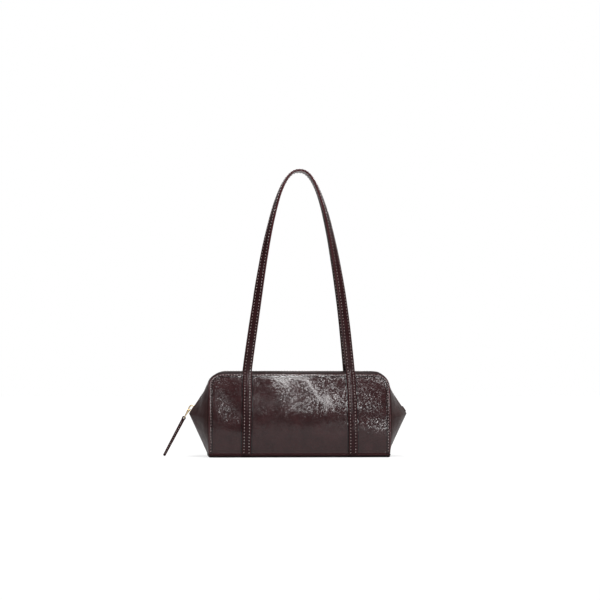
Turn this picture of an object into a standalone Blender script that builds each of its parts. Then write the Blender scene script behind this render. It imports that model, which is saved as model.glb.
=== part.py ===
"""A small barrel-shaped leather handbag with pointed ends, a zip over the ridge and two long straps.

Metres, +Z up. The origin is the middle of the flat underside. +X runs along the bag, -Y is the
front, and the zip's slider waits at the -X tip. Every layer of the bag is cut from the same
nested shell: the same outline with its sizes reduced by the depth of the layer.
"""

import math

import bmesh
import bpy
import numpy as np

# The body
PANEL_LENGTH = 0.230
BODY_HEIGHT = 0.109
BODY_DEPTH = 0.100
TIP_TO_TIP = 0.280
TIP_HEIGHT = 0.055
SEAM_DROP = 0.0035
BASE_RIM_HEIGHT = 0.0045
BASE_EDGE_RADIUS = 0.004
RIDGE_FOOT_REACH = 0.0015
RIDGE_SLOPE = math.radians(55.5)
RIDGE_CORNER_RADIUS = 0.022
PANEL_CORNER_RADIUS = 0.018
PANEL_CROWN = 0.003
GUSSET_BULGE = 0.002
TIP_INSET_share = 1.15
NOSE_LIP = 0.0034
NOSE_FLOOR = 0.0017
NOSE_VALLEY = 0.0044
NOSE_DROP = 0.0027

# The layers
LEATHER = 0.0015
LINING = 0.0006
BOARD_THICKNESS = 0.0015
GAP = 0.0003

# The zip
CHANNEL_WIDTH = 0.010
TAPE_LAP = 0.006
TOOTH_PITCH = 0.0034
TOOTH_LENGTH = 0.0014
TOOTH_REACH = 0.0009
SPINE_WIDTH = 0.0009
TEETH_THICKNESS = 0.0022
STOP_LENGTH = 0.002
END_TAB_START = 0.0024
END_TAB_LENGTH = 0.0085
END_TAB_RISE = 0.0014

# The slider and its pull
SLIDER_START = 0.0026
SLIDER_LENGTH = 0.0108
SLIDER_WIDTH = 0.0084
SLIDER_TAIL_WIDTH = 0.0070
SLIDER_PLATE = 0.0013
POST_LENGTH = 0.0022
POST_WIDTH = 0.0012
BRIDGE_START = 0.0032
BRIDGE_LENGTH = 0.0078
BRIDGE_WIDTH = 0.0030
BRIDGE_HEIGHT = 0.0032
BRIDGE_WALL = 0.0009
LINK_WIRE = 0.0011
LINK_LENGTH = 0.0138
LINK_WIDTH = 0.0054
LINK_CORNER = 0.0018
LINK_LEAN = math.radians(36.2)
PULLER_LEAN = math.radians(27.6)
PULLER_LENGTH = 0.0545
PULLER_HEAD_RADIUS = 0.0026
PULLER_NECK_WIDTH = 0.0043
PULLER_END_WIDTH = 0.0034
PULLER_PLY = 0.00135
EYE_CLEARANCE = 0.00035

# The straps
STRAP_WIDTH = 0.011
STRAP_PLY = 0.0015
STRAP_RISE = 0.259
LEG_SPREAD = 0.0657
LEG_FLARE = 0.0017

# Shapes chosen by hand
PROFILE_HEIGHT_shares = (0.0, 0.173, 0.349, 0.525, 0.697, 0.857, 1.0)
PROFILE_DEPTH_shares = (0.92, 0.991, 0.997, 0.964, 0.883, 0.738, 0.53)
MOUTH_FULLNESS_share = 0.5
STRAP_CURVE_POWER = 2.33

# How finely the surfaces are cut
PANEL_COLUMNS = 10
PANEL_ROWS = 7
CORNER_STEPS = 6
FOOT_STEPS = 5
SLOPE_STEPS = 10
GUSSET_COLUMNS = 5
EDGE_STEPS = 4
STRAP_STEPS = 72
WIRE_SIDES = 8

SIDES = (("front", -1), ("back", 1))
ENDS = (("left", -1), ("right", 1))


# The finishes


def finish(name, colour, roughness, metallic=0.0):
    material = bpy.data.materials.new(name)
    material.use_nodes = True
    shader = material.node_tree.nodes["Principled BSDF"]
    shader.inputs["Base Color"].default_value = (*colour, 1.0)
    shader.inputs["Roughness"].default_value = roughness
    shader.inputs["Metallic"].default_value = metallic
    material.diffuse_color = (*colour, 1.0)
    return material


def all_finishes():
    return {
        "leather": finish("glazed_leather", (0.030, 0.012, 0.014), 0.28),
        "strap": finish("strap_leather", (0.034, 0.013, 0.015), 0.32),
        "lining": finish("lining_cloth", (0.055, 0.030, 0.028), 0.85),
        "tape": finish("zip_tape", (0.022, 0.012, 0.012), 0.80),
        "coil": finish("zip_coil", (0.030, 0.016, 0.015), 0.45),
        "gold": finish("pale_gold", (0.83, 0.62, 0.33), 0.22, 1.0),
        "board": finish("stiff_board", (0.20, 0.16, 0.12), 0.80),
    }


# Meshes


def add_object(name, vertices, faces, material, origin=None):
    """A closed mesh with its faces turned outward. Its origin goes to the given point."""
    shift = np.zeros(3) if origin is None else np.asarray(origin, float)
    mesh = bpy.data.meshes.new(name)
    mesh.from_pydata((np.asarray(vertices) - shift).tolist(), [], faces)
    shape = bmesh.new()
    shape.from_mesh(mesh)
    bmesh.ops.recalc_face_normals(shape, faces=shape.faces)
    shape.to_mesh(mesh)
    shape.free()
    mesh.materials.append(material)
    mesh.shade_smooth()
    mesh.set_sharp_from_angle(angle=math.radians(35))
    obj = bpy.data.objects.new(name, mesh)
    obj.location = shift
    bpy.context.scene.collection.objects.link(obj)
    return obj


def add_plate(name, top, bottom, cells, material, origin=None):
    """A sheet between two like sets of points: the cells of each, and a wall along every free edge.

    Each cell is cut along the same diagonal in every layer, so that layers stay evenly apart.
    """
    used = sorted({corner for cell in cells for corner in cell})
    numbers = {old: new for new, old in enumerate(used)}
    cells = [[numbers[corner] for corner in cell] for cell in cells]
    top, bottom = top[used], bottom[used]
    count = len(top)
    halves = [[a, b, c] for a, b, c, d in cells] + [[a, c, d] for a, b, c, d in cells]
    faces = halves + [[corner + count for corner in reversed(half)] for half in halves]
    owners = {}
    for cell in cells:
        for start, end in zip(cell, cell[1:] + cell[:1]):
            owners.setdefault(frozenset((start, end)), []).append((start, end))
    for uses in owners.values():
        if len(uses) == 1:
            start, end = uses[0]
            faces.append([end, start, start + count, end + count])
    return add_object(name, np.concatenate([top, bottom]), faces, material, origin)


def grid_cells(rows, columns):
    """The four corners of each cell of a grid of points, stored row by row."""
    return [
        [r * columns + c, r * columns + c + 1, (r + 1) * columns + c + 1, (r + 1) * columns + c]
        for r in range(rows - 1)
        for c in range(columns - 1)
    ]


def add_sheet(name, top, bottom, material, origin=None, kept=None):
    """A sheet between two grids of points of shape (rows, columns, 3). kept marks the cells that it has."""
    rows, columns = top.shape[:2]
    cells = grid_cells(rows, columns)
    if kept is not None:
        cells = [cell for cell, stays in zip(cells, kept.ravel()) if stays]
    return add_plate(name, top.reshape(-1, 3), bottom.reshape(-1, 3), cells, material, origin)


def add_tube(name, rings, closed, material, origin=None):
    """A tube through rings of points of shape (steps, sides, 3), joined in a loop or capped."""
    steps, sides = rings.shape[:2]
    faces = []
    for k in range(steps if closed else steps - 1):
        after = (k + 1) % steps
        for i in range(sides):
            j = (i + 1) % sides
            faces.append([k * sides + i, k * sides + j, after * sides + j, after * sides + i])
    if not closed:
        faces.append(list(range(sides)))
        faces.append([(steps - 1) * sides + i for i in range(sides)])
    return add_object(name, rings.reshape(-1, 3), faces, material, origin)


def add_prism(name, outline, low, high, frame, material, origin=None):
    """An outline in the first two directions of a frame, carried along the third."""
    place, along, across, out = frame
    flat = np.asarray(outline, float)
    rings = [place + flat[:, :1] * along + flat[:, 1:] * across + level * out for level in (low, high)]
    return add_tube(name, np.array(rings), False, material, origin)


def smooth_through(values, where):
    """A Catmull-Rom curve through evenly spaced values, read at shares from 0 to 1."""
    points = np.asarray(values, float)
    points = np.concatenate([[2 * points[0] - points[1]], points, [2 * points[-1] - points[-2]]])
    spot = np.clip(np.asarray(where) * (len(values) - 1), 0, len(values) - 1 - 1e-9)
    k = spot.astype(int)
    f = spot - k
    a, b, c, d = points[k], points[k + 1], points[k + 2], points[k + 3]
    return b + f / 2 * (c - a + f * (2 * a - 5 * b + 4 * c - d + f * (3 * (b - c) + d - a)))


def even(start, end, steps):
    return np.linspace(start, end, steps + 1)


# The nested shell: every surface below is a function of the depth under the outer face


def half_length(depth):
    return PANEL_LENGTH / 2 - depth


def seam_height(depth):
    return BODY_HEIGHT - SEAM_DROP - depth


def profile(b, depth):
    """Y (as a distance) and Z of the panel's section, from its bottom seam (0) to its top seam (1)."""
    reach = (BODY_DEPTH / 2 - depth) * smooth_through(PROFILE_DEPTH_shares, b)
    climb = smooth_through(PROFILE_HEIGHT_shares, b)
    return reach, BASE_RIM_HEIGHT + (seam_height(depth) - BASE_RIM_HEIGHT) * climb


def profile_length(depth):
    reach, height = profile(even(0, 1, 64), depth)
    return float(np.hypot(np.diff(reach), np.diff(height)).sum())


def corner_start(depth):
    """The share of the section at which the panel's rounded corner begins."""
    return 1 - (PANEL_CORNER_RADIUS - depth) / profile_length(depth)


def panel_half_width(b, depth):
    """Half the panel's length at a share of its section: straight sides, then a quarter round."""
    radius = PANEL_CORNER_RADIUS - depth
    into = np.clip((np.asarray(b) - corner_start(depth)) * profile_length(depth), 0, radius)
    return half_length(depth) - radius + np.sqrt(radius**2 - into**2)


def panel_point(side, x, b, depth):
    """A point of the front (side -1) or back (side 1) panel, with a slight crown along its length."""
    x, b = np.broadcast_arrays(np.asarray(x, float), np.asarray(b, float))
    reach, height = profile(b, depth)
    crown = PANEL_CROWN * (1 - np.clip(np.abs(x) / half_length(depth), 0, 1) ** 2) * np.sin(np.pi * b)
    return np.stack([x, side * (reach + crown), height], -1)


def ridge_marks(depth):
    """The ridge's foot, its tip, the two ends of its round corner and that corner's centre, in X and Z."""
    radius = RIDGE_CORNER_RADIUS - depth
    tip = np.array([TIP_TO_TIP / 2 - TIP_INSET_share * depth, TIP_HEIGHT])
    foot = np.array([half_length(depth) + RIDGE_FOOT_REACH, BASE_RIM_HEIGHT])
    top = BODY_HEIGHT - depth
    corner = np.array([tip[0] - (top - TIP_HEIGHT) / math.tan(RIDGE_SLOPE), top])
    tangent = radius * math.tan(RIDGE_SLOPE / 2)
    slope = np.array([math.cos(RIDGE_SLOPE), -math.sin(RIDGE_SLOPE)])
    low_end = corner + tangent * slope
    high_end = corner - np.array([tangent, 0.0])
    return foot, tip, low_end, high_end, high_end - np.array([0.0, radius])


def mouth_half_length():
    """The ridge is level between its two round corners, and that stretch is what opens."""
    return float(ridge_marks(0)[3][0])


def end_steps():
    """Places along a gusset end: 0 to 1 up to the tip, 1 to 2 up the slope, 2 to 3 round the corner."""
    return np.concatenate([even(0, 1, FOOT_STEPS)[:-1], even(1, 2, SLOPE_STEPS)[:-1], even(2, 3, CORNER_STEPS)])


def ridge_line(t, depth):
    """X and Z of the ridge at places along an end."""
    foot, tip, low_end, _, centre = ridge_marks(depth)
    t = np.asarray(t, float)[:, None]
    radius = RIDGE_CORNER_RADIUS - depth
    turn = math.pi / 2 - RIDGE_SLOPE + (t[:, 0] - 2) * RIDGE_SLOPE
    arc = centre + radius * np.stack([np.cos(turn), np.sin(turn)], -1)
    rising = np.where(t < 1, foot + (tip - foot) * t, tip + (low_end - tip) * (t - 1))
    return np.where(t < 2, rising, arc)


def seam_line(side, t, depth):
    """The panel's edge at places along an end: up its side, round its corner and along its top."""
    t = np.asarray(t, float)
    start = corner_start(depth)
    tip_share = start * TIP_HEIGHT / BODY_HEIGHT
    radius = PANEL_CORNER_RADIUS - depth
    quarter = radius * math.pi / 2
    straight = half_length(depth) - radius - mouth_half_length()
    run = np.clip(t - 2, 0, 1) * (quarter + straight)
    turn = np.clip(run / radius, 0, math.pi / 2)
    x = half_length(depth) - radius + radius * np.cos(turn) - np.clip(run - quarter, 0, None)
    rising = np.where(t < 1, tip_share * t, tip_share + (start - tip_share) * (t - 1))
    b = np.where(t < 2, rising, start + (1 - start) * np.sin(turn))
    return panel_point(side, x, np.clip(b, 0, 1), depth)


def beside_ridge(side, t, depth, offset):
    """The line along an end that runs level with the ridge, a distance to one side of it."""
    xz = ridge_line(t, depth)
    return np.stack([xz[:, 0], np.broadcast_to(side * offset, len(xz)), xz[:, 1]], -1)


def gusset_edge(side, t, depth):
    """Where an end meets its nose: close to the middle at the foot, then wider up to the zip's channel."""
    return beside_ridge(side, t, depth, widening(t, GAP, CHANNEL_WIDTH / 2))


def widening(t, start, end):
    """A distance that grows evenly from the foot to the tip and stays level above it."""
    return start + (end - start) * np.clip(t, 0, 1)


def nose_columns(side, t, depth):
    """From the nose's lip down the wall of the valley between the two halves, to the seam in its floor."""
    valley = np.clip(t, 0, 1)[:, None] ** 2 * np.array([NOSE_VALLEY, 0.0, NOSE_DROP])
    lip = beside_ridge(side, t, depth, widening(t, 3 * GAP / 2, NOSE_LIP))
    wall = beside_ridge(side, t, depth, widening(t, GAP, NOSE_FLOOR)) - valley
    seam = beside_ridge(side, t, depth, GAP / 2) - valley
    return np.stack([lip, wall, seam], axis=1)


def bulged(start, end, shares, amounts):
    """Straight lines between two rows of points, raised in the middle along the surface's own normal."""
    shares = np.asarray(shares)
    if shares.ndim == 1:
        shares = np.broadcast_to(shares, (len(start), len(shares)))
    grid = start[:, None] + (end - start)[:, None] * shares[..., None]
    middle = (start + end) / 2
    normal = np.cross(np.gradient(middle, axis=0), end - start)
    normal /= np.linalg.norm(normal, axis=1, keepdims=True)
    normal *= np.sign((normal * (middle - [0.0, 0.0, TIP_HEIGHT])).sum(1, keepdims=True))
    rise = np.broadcast_to(amounts, len(start))[:, None] * 4 * shares * (1 - shares)
    return grid + rise[..., None] * normal[:, None]


def end_surface(side, t, shares, depth):
    """One half of a gusset end, from the panel's edge (0) to the zip or the centre seam (1), at +X."""
    t = np.asarray(t, float)
    fullness = np.clip(t, 0, 1) * (1 - (1 - MOUTH_FULLNESS_share) * np.clip(t - 2, 0, 1))
    edges = seam_line(side, t, depth), gusset_edge(side, t, depth)
    return bulged(*edges, shares, GUSSET_BULGE * fullness)


def mouth_surface(side, x, shares, depth):
    """The level part of a gusset over the mouth, from the panel's top seam (0) to the zip (1)."""
    x = np.asarray(x, float)
    start = panel_point(side, x, 1.0, depth)
    level = np.full(len(x), BODY_HEIGHT - depth)
    end = np.stack([x, np.full(len(x), side * CHANNEL_WIDTH / 2), level], -1)
    return bulged(start, end, shares, GUSSET_BULGE * MOUTH_FULLNESS_share)


def at_end(points, end):
    """Turns the points of the +X end into those of the given end."""
    return points * np.array([end, 1.0, 1.0])


# The panels, the base and their lining


def panel_rows(depth):
    """Rows of a panel: even up to its corners, then closer as the corners turn."""
    start = corner_start(depth)
    turn = even(0, math.pi / 2, CORNER_STEPS)[1:]
    return np.concatenate([even(0, start, PANEL_ROWS), start + (1 - start) * np.sin(turn)])


def panel_grid(side, depth):
    """A whole panel set back from its seams by half a gap."""
    length = profile_length(depth)
    b = np.clip(panel_rows(depth), GAP / 2 / length, 1 - GAP / 2 / length)
    u = even(-1, 1, PANEL_COLUMNS)
    x = u[None] * (panel_half_width(b, depth) - GAP / 2)[:, None]
    return panel_point(side, x, b[:, None], depth)


def build_panels(finishes):
    inside = LEATHER + GAP
    for word, side in SIDES:
        add_sheet(f"{word}_panel", panel_grid(side, 0), panel_grid(side, LEATHER), finishes["leather"])
        top, bottom = panel_grid(side, inside), panel_grid(side, inside + LINING)
        add_sheet(f"{word}_lining", top, bottom, finishes["lining"])


def base_outline(inset):
    """The foot of the bag seen from above: straight along the panels, slightly pointed at the ends."""
    x = half_length(inset)
    y = BODY_DEPTH / 2 * PROFILE_DEPTH_shares[0] - inset
    foot = x + RIDGE_FOOT_REACH
    corners = [(x, -y), (foot, 0.0), (x, y), (-x, y), (-foot, 0.0), (-x, -y)]
    return np.array(corners)


def base_ring(inset, height):
    outline = base_outline(inset)
    return np.column_stack([outline, np.full(len(outline), height)])


def build_base(finishes):
    """The base leather is a shallow tray whose turned-up rim meets the panels."""
    turn = even(0, math.pi / 2, EDGE_STEPS)
    rim = BASE_RIM_HEIGHT - GAP / 2
    inner_radius = BASE_EDGE_RADIUS - LEATHER
    outer = [base_ring(BASE_EDGE_RADIUS * (1 - math.cos(a)), rim * (1 - math.sin(a))) for a in turn]
    inner = [
        base_ring(LEATHER + inner_radius * (1 - math.cos(a)), LEATHER + (rim - LEATHER) * (1 - math.sin(a)))
        for a in turn[::-1]
    ]
    add_tube("base_panel", np.array(outer[::-1] + inner[::-1]), False, finishes["leather"])

    board_low = LEATHER + GAP
    board_high = board_low + BOARD_THICKNESS
    inset = BASE_EDGE_RADIUS + GAP
    rings = np.array([base_ring(inset, board_low), base_ring(inset, board_high)])
    add_tube("base_board", rings, False, finishes["board"])

    inset = LEATHER + GAP
    low = board_high + GAP
    rings = np.array([base_ring(inset, low), base_ring(inset, low + LINING)])
    add_tube("base_lining", rings, False, finishes["lining"])


# The gusset, its lining and the zip tapes


def column_shares(start, end, far):
    """Shares between two rows of points, the same for every layer, so that the layers stay apart.

    They run evenly to the lining's edge, then come the tape's far edge and the edge of the leather,
    which stops short of the second row by the given distance.
    """
    length = np.linalg.norm(end - start, axis=1)
    lining_edge = 1 - (TAPE_LAP + GAP) / length
    shares = lining_edge[:, None] * even(0, 1, GUSSET_COLUMNS)
    shares[:, 0] = GAP / length
    return np.column_stack([shares, 1 - TAPE_LAP / length, 1 - far / length])


def trimmed_steps(depth):
    """The places along an end, with its foot and its top set back by half a gap."""
    t = end_steps()
    foot, tip, _, _, _ = ridge_marks(depth)
    t[0] = GAP / 2 / np.linalg.norm(tip - foot)
    t[-1] = 3 - GAP / 2 / ((RIDGE_CORNER_RADIUS - depth) * RIDGE_SLOPE)
    before = FOOT_STEPS
    return np.insert(t, before, 1 - GAP / np.linalg.norm(tip - foot))


def gusset_grid(side, depth):
    """Half an end, from the panel's edge to its nose, and across the nose to the seam below the tip."""
    t = trimmed_steps(depth)
    start, end = seam_line(side, t, depth), gusset_edge(side, t, depth)
    shares = column_shares(start, end, np.where(t < 1, GAP, 0.0))
    return np.concatenate([end_surface(side, t, shares, depth), nose_columns(side, t, depth)], axis=1)


def gusset_cells(depth, columns):
    """Above the tip only the first columns stay: up to the zip's channel, or to the tape for the lining."""
    t = trimmed_steps(depth)
    kept = np.ones((len(t) - 1, GUSSET_COLUMNS + 5), bool)
    kept[t[1:] >= 1, columns:] = False
    return kept


def tape_edge():
    """The tape's distance from the middle of the zip: just outside the teeth's spine."""
    return TOOTH_REACH + GAP + SPINE_WIDTH + GAP


def tape_grid(side, depth):
    """The zip tape of half an end: level in the open channel, then under the leather."""
    t = trimmed_steps(depth)
    t = t[t >= 1]
    t[0] += GAP / np.linalg.norm(ridge_marks(depth)[1] - ridge_marks(depth)[0])
    shares = column_shares(seam_line(side, t, depth), gusset_edge(side, t, depth), 0.0)
    lapped = end_surface(side, t, shares[:, -2:], depth)
    centre = beside_ridge(side, t, depth, tape_edge())
    return np.concatenate([lapped, centre[:, None]], axis=1)


def build_gusset_ends(finishes):
    inside = LEATHER + GAP
    for end_word, end in ENDS:
        for side_word, side in SIDES:
            name = f"{end_word}_{{}}_{side_word}"
            pieces = (
                ("gusset", 0, LEATHER, GUSSET_COLUMNS + 2, "leather"),
                ("lining", inside, inside + LINING, GUSSET_COLUMNS, "lining"),
            )
            for word, high, low, columns, colour in pieces:
                top, bottom = at_end(gusset_grid(side, high), end), at_end(gusset_grid(side, low), end)
                kept = gusset_cells(high, columns)
                add_sheet(name.format(word), top, bottom, finishes[colour], kept=kept)
            top, bottom = at_end(tape_grid(side, inside), end), at_end(tape_grid(side, inside + LINING), end)
            add_sheet(name.format("tape"), top, bottom, finishes["tape"])


def mouth_grid(side, depth):
    """One side of the mouth from the panel's seam to the middle of the zip, at the shared columns."""
    reach = mouth_half_length() - GAP / 2
    x = even(-reach, reach, PANEL_COLUMNS)
    shares = column_shares(*mouth_surface(side, x, [0.0, 1.0], depth).swapaxes(0, 1), 0.0)
    grid = mouth_surface(side, x, shares, depth)
    centre = grid[:, -1:].copy()
    centre[..., 1] = side * tape_edge()
    return np.concatenate([grid, centre], axis=1)


def hinge_point(side):
    """The mouth opens about the outer edge of the panel's top seam."""
    return panel_point(side, 0.0, 1.0, 0)


def build_mouth(finishes):
    inside = LEATHER + GAP
    pieces = (
        ("gusset", 0, LEATHER, slice(None, -1), "leather"),
        ("lining", inside, inside + LINING, slice(None, -3), "lining"),
        ("tape", inside, inside + LINING, slice(-3, None), "tape"),
    )
    for side_word, side in SIDES:
        for word, high, low, columns, colour in pieces:
            top, bottom = mouth_grid(side, high)[:, columns], mouth_grid(side, low)[:, columns]
            add_sheet(f"mouth_{word}_{side_word}", top, bottom, finishes[colour], hinge_point(side))


# The zip's teeth, stops and end tab


def ridge_path(distance, depth):
    """X and Z at distances along the outer ridge from the +X tip, at a depth under it."""
    _, tip, low_end, high_end, centre = ridge_marks(0)
    slope_length = float(np.linalg.norm(low_end - tip))
    arc_length = RIDGE_CORNER_RADIUS * RIDGE_SLOPE
    distance = np.asarray(distance, float)[:, None]
    up = (low_end - tip) / slope_length
    inward = np.array([-up[1], up[0]])
    turn = math.pi / 2 - RIDGE_SLOPE + (distance[:, 0] - slope_length) / RIDGE_CORNER_RADIUS
    spoke = np.stack([np.cos(turn), np.sin(turn)], -1)
    on_slope = tip + up * distance + inward * depth
    on_arc = centre + spoke * (RIDGE_CORNER_RADIUS - depth)
    level = high_end - np.array([0.0, depth]) - (distance - slope_length - arc_length) * np.array([1.0, 0.0])
    on_arc = np.where(distance > slope_length + arc_length, level, on_arc)
    return np.where(distance < slope_length, on_slope, on_arc)


def ridge_end_length():
    """The length of the ridge from a tip to the mouth."""
    _, tip, low_end, _, _ = ridge_marks(0)
    return float(np.linalg.norm(low_end - tip)) + RIDGE_CORNER_RADIUS * RIDGE_SLOPE


def teeth_depths():
    middle = LEATHER + GAP + LINING / 2
    return middle - TEETH_THICKNESS / 2, middle + TEETH_THICKNESS / 2


def add_teeth(name, side, offsets, ends, place, material, origin=None):
    """A row of teeth on a spine: offsets are the teeth's middles, ends those of the spine."""
    half = TOOTH_LENGTH / 2
    marks = sorted({ends[0], ends[1], *(m - half for m in offsets), *(m + half for m in offsets)})
    across = (GAP + TOOTH_REACH + SPINE_WIDTH, GAP + TOOTH_REACH, -TOOTH_REACH)
    tooth_starts = {m - half for m in offsets}
    cells = []
    for k, mark in enumerate(marks[:-1]):
        cells.append([3 * k, 3 * k + 1, 3 * k + 4, 3 * k + 3])
        if mark in tooth_starts:
            cells.append([3 * k + 1, 3 * k + 2, 3 * k + 5, 3 * k + 4])
    layers = []
    for depth in teeth_depths():
        xz = place(np.array(marks), depth)
        points = np.stack(
            [np.stack([xz[:, 0], np.full(len(xz), side * y), xz[:, 1]], -1) for y in across], 1
        )
        layers.append(points.reshape(-1, 3))
    return add_plate(name, *layers, cells, material, origin)


def tooth_middles(start, end, side):
    """Evenly pitched places between two ends, half a pitch apart on the two sides."""
    first = start + TOOTH_PITCH / 2 + (TOOTH_PITCH / 4) * side
    count = int((end - TOOTH_LENGTH - first) / TOOTH_PITCH) + 1
    return [first + k * TOOTH_PITCH for k in range(count)]


def teeth_start(end):
    """Where the teeth begin: past the slider's stops on the left, past the end tab on the right."""
    after_tab = END_TAB_START + END_TAB_LENGTH + 2 * GAP + STOP_LENGTH
    return SLIDER_START + GAP + STOP_LENGTH + 2 * GAP if end < 0 else after_tab


def build_teeth(finishes):
    stretch = ridge_end_length() - GAP / 2
    for end_word, end in ENDS:
        start = teeth_start(end)
        for side_word, side in SIDES:
            add_teeth(
                f"{end_word}_teeth_{side_word}",
                side,
                tooth_middles(start, stretch, side * end),
                (start, stretch),
                lambda s, depth, end=end: ridge_path(s, depth) * np.array([end, 1.0]),
                finishes["coil"],
            )
    reach = mouth_half_length() - GAP / 2
    for side_word, side in SIDES:
        add_teeth(
            f"mouth_teeth_{side_word}",
            side,
            tooth_middles(-reach, reach, side),
            (-reach, reach),
            lambda s, depth: np.stack([s, np.full(len(s), BODY_HEIGHT - depth)], -1),
            finishes["coil"],
            hinge_point(side),
        )


def tip_frame(end):
    """The tip's point and the directions up the slope, across the bag and out of the ridge."""
    tip = ridge_marks(0)[1]
    place = np.array([end * tip[0], 0.0, tip[1]])
    along = np.array([-end * math.cos(RIDGE_SLOPE), 0.0, math.sin(RIDGE_SLOPE)])
    out = np.array([end * math.sin(RIDGE_SLOPE), 0.0, math.cos(RIDGE_SLOPE)])
    return place, along, np.array([0.0, 1.0, 0.0]), out


def box_outline(start, length, low, high):
    return [(start, low), (start + length, low), (start + length, high), (start, high)]


def build_zip_ends(finishes):
    shallow, deep = teeth_depths()
    near = PULLER_PLY + GAP
    far = tape_edge() - GAP
    for word, side in SIDES:
        low, high = sorted((side * near, side * far))
        outline = box_outline(SLIDER_START + GAP, STOP_LENGTH, low, high)
        add_prism(f"top_stop_{word}", outline, -deep, -shallow, tip_frame(-1), finishes["gold"])
    outline = box_outline(END_TAB_START + END_TAB_LENGTH + GAP, STOP_LENGTH, -far, far)
    add_prism("bottom_stop", outline, -deep, -shallow, tip_frame(1), finishes["gold"])
    half = CHANNEL_WIDTH / 2 - GAP
    outline = box_outline(END_TAB_START, END_TAB_LENGTH, -half, half)
    add_prism("zip_end_tab", outline, -LEATHER, END_TAB_RISE, tip_frame(1), finishes["leather"])


# The slider, its bridge, the link and the puller


def guide(obj):
    obj.hide_render = True
    obj.display_type = "WIRE"
    return obj


def joined(base, others):
    """Joins other shapes to a base with unions, and keeps them as hidden guides."""
    for other in others:
        modifier = base.modifiers.new(other.name, "BOOLEAN")
        modifier.operation = "UNION"
        modifier.solver = "EXACT"
        modifier.object = guide(other)
    return base


def slider_outline():
    """The slider's plate seen from above: wide at its nose by the tip, narrower at its tail."""
    nose, tail = SLIDER_WIDTH / 2, SLIDER_TAIL_WIDTH / 2
    start, end = SLIDER_START, SLIDER_START + SLIDER_LENGTH
    soft = SLIDER_PLATE
    half = [(start, nose - soft), (start + soft, nose), (start + SLIDER_LENGTH / 2, nose)]
    half += [(end - soft, tail), (end, tail - soft)]
    return [(x, -y) for x, y in half] + [(x, y) for x, y in reversed(half)]


def plate_levels():
    """Heights of the slider's upper and lower plates against the outer ridge."""
    shallow, deep = teeth_depths()
    upper = -shallow + GAP
    lower = -deep - GAP
    return upper, upper + SLIDER_PLATE, lower - SLIDER_PLATE, lower


def build_slider(finishes):
    frame = tip_frame(-1)
    gold = finishes["gold"]
    upper_low, upper_high, lower_low, lower_high = plate_levels()
    outline = slider_outline()
    inside = tape_edge()
    tape_top = -(LEATHER + GAP) + GAP
    tape_bottom = -(LEATHER + GAP + LINING) - GAP
    body = add_prism("slider_body", outline, upper_low, upper_high, frame, gold)
    sink = SLIDER_PLATE / 2
    extras = [add_prism("guide_lower_plate", outline, lower_low, lower_high, frame, gold)]
    post = box_outline(SLIDER_START + GAP, POST_LENGTH, -POST_WIDTH / 2, POST_WIDTH / 2)
    extras.append(add_prism("guide_post", post, lower_low + sink, upper_low + sink, frame, gold))
    rail_start = SLIDER_START + SLIDER_PLATE
    rail_length = SLIDER_LENGTH - 2 * SLIDER_PLATE
    for word, side in SIDES:
        low, high = sorted((side * inside, side * (SLIDER_TAIL_WIDTH / 2)))
        rail = box_outline(rail_start, rail_length, low, high)
        extras.append(add_prism(f"guide_rail_{word}", rail, tape_top, upper_low + sink, frame, gold))
        extras.append(add_prism(f"guide_keel_{word}", rail, lower_high - sink, tape_bottom, frame, gold))
    joined(body, extras)
    build_bridge(frame, upper_high + GAP, gold)


def build_bridge(frame, foot, material):
    """A low arch along the slider, which the link passes under."""
    place, along, across, out = frame
    section = (place, along, out, across)
    low, high = foot, foot + BRIDGE_HEIGHT
    start, end = BRIDGE_START, BRIDGE_START + BRIDGE_LENGTH
    shoulder = BRIDGE_HEIGHT / 2
    wall = BRIDGE_WALL
    outer = [(start, low), (start, high - shoulder), (start + shoulder, high)]
    outer += [(end - shoulder, high), (end, high - shoulder), (end, low)]
    inner = [(end - wall, low), (end - wall, high - shoulder), (end - shoulder, high - wall)]
    inner += [(start + shoulder, high - wall), (start + wall, high - shoulder), (start + wall, low)]
    half = BRIDGE_WIDTH / 2
    count = len(outer)
    cells = [[k, k + 1, 2 * count - 2 - k, 2 * count - 1 - k] for k in range(count - 1)]
    flat = np.array(outer + inner)
    layers = [
        place + flat[:, :1] * section[1] + flat[:, 1:] * section[2] + level * across for level in (-half, half)
    ]
    add_plate("slider_bridge", *layers, cells, material)


def link_pivot():
    """The link's upper bar, just inside the nose end of the bridge."""
    place, along, _, out = tip_frame(-1)
    rise = plate_levels()[1] + GAP + LINK_WIRE / 2 + GAP
    start = BRIDGE_START + BRIDGE_WALL + LINK_WIRE / 2 + 2 * GAP
    return place + start * along + rise * out


def leaning(angle):
    """A direction that points down and, for a positive angle, away from the bag at the -X tip."""
    return np.array([-math.sin(angle), 0.0, -math.cos(angle)])


def puller_eye():
    return link_pivot() + LINK_LENGTH * leaning(LINK_LEAN)


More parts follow.
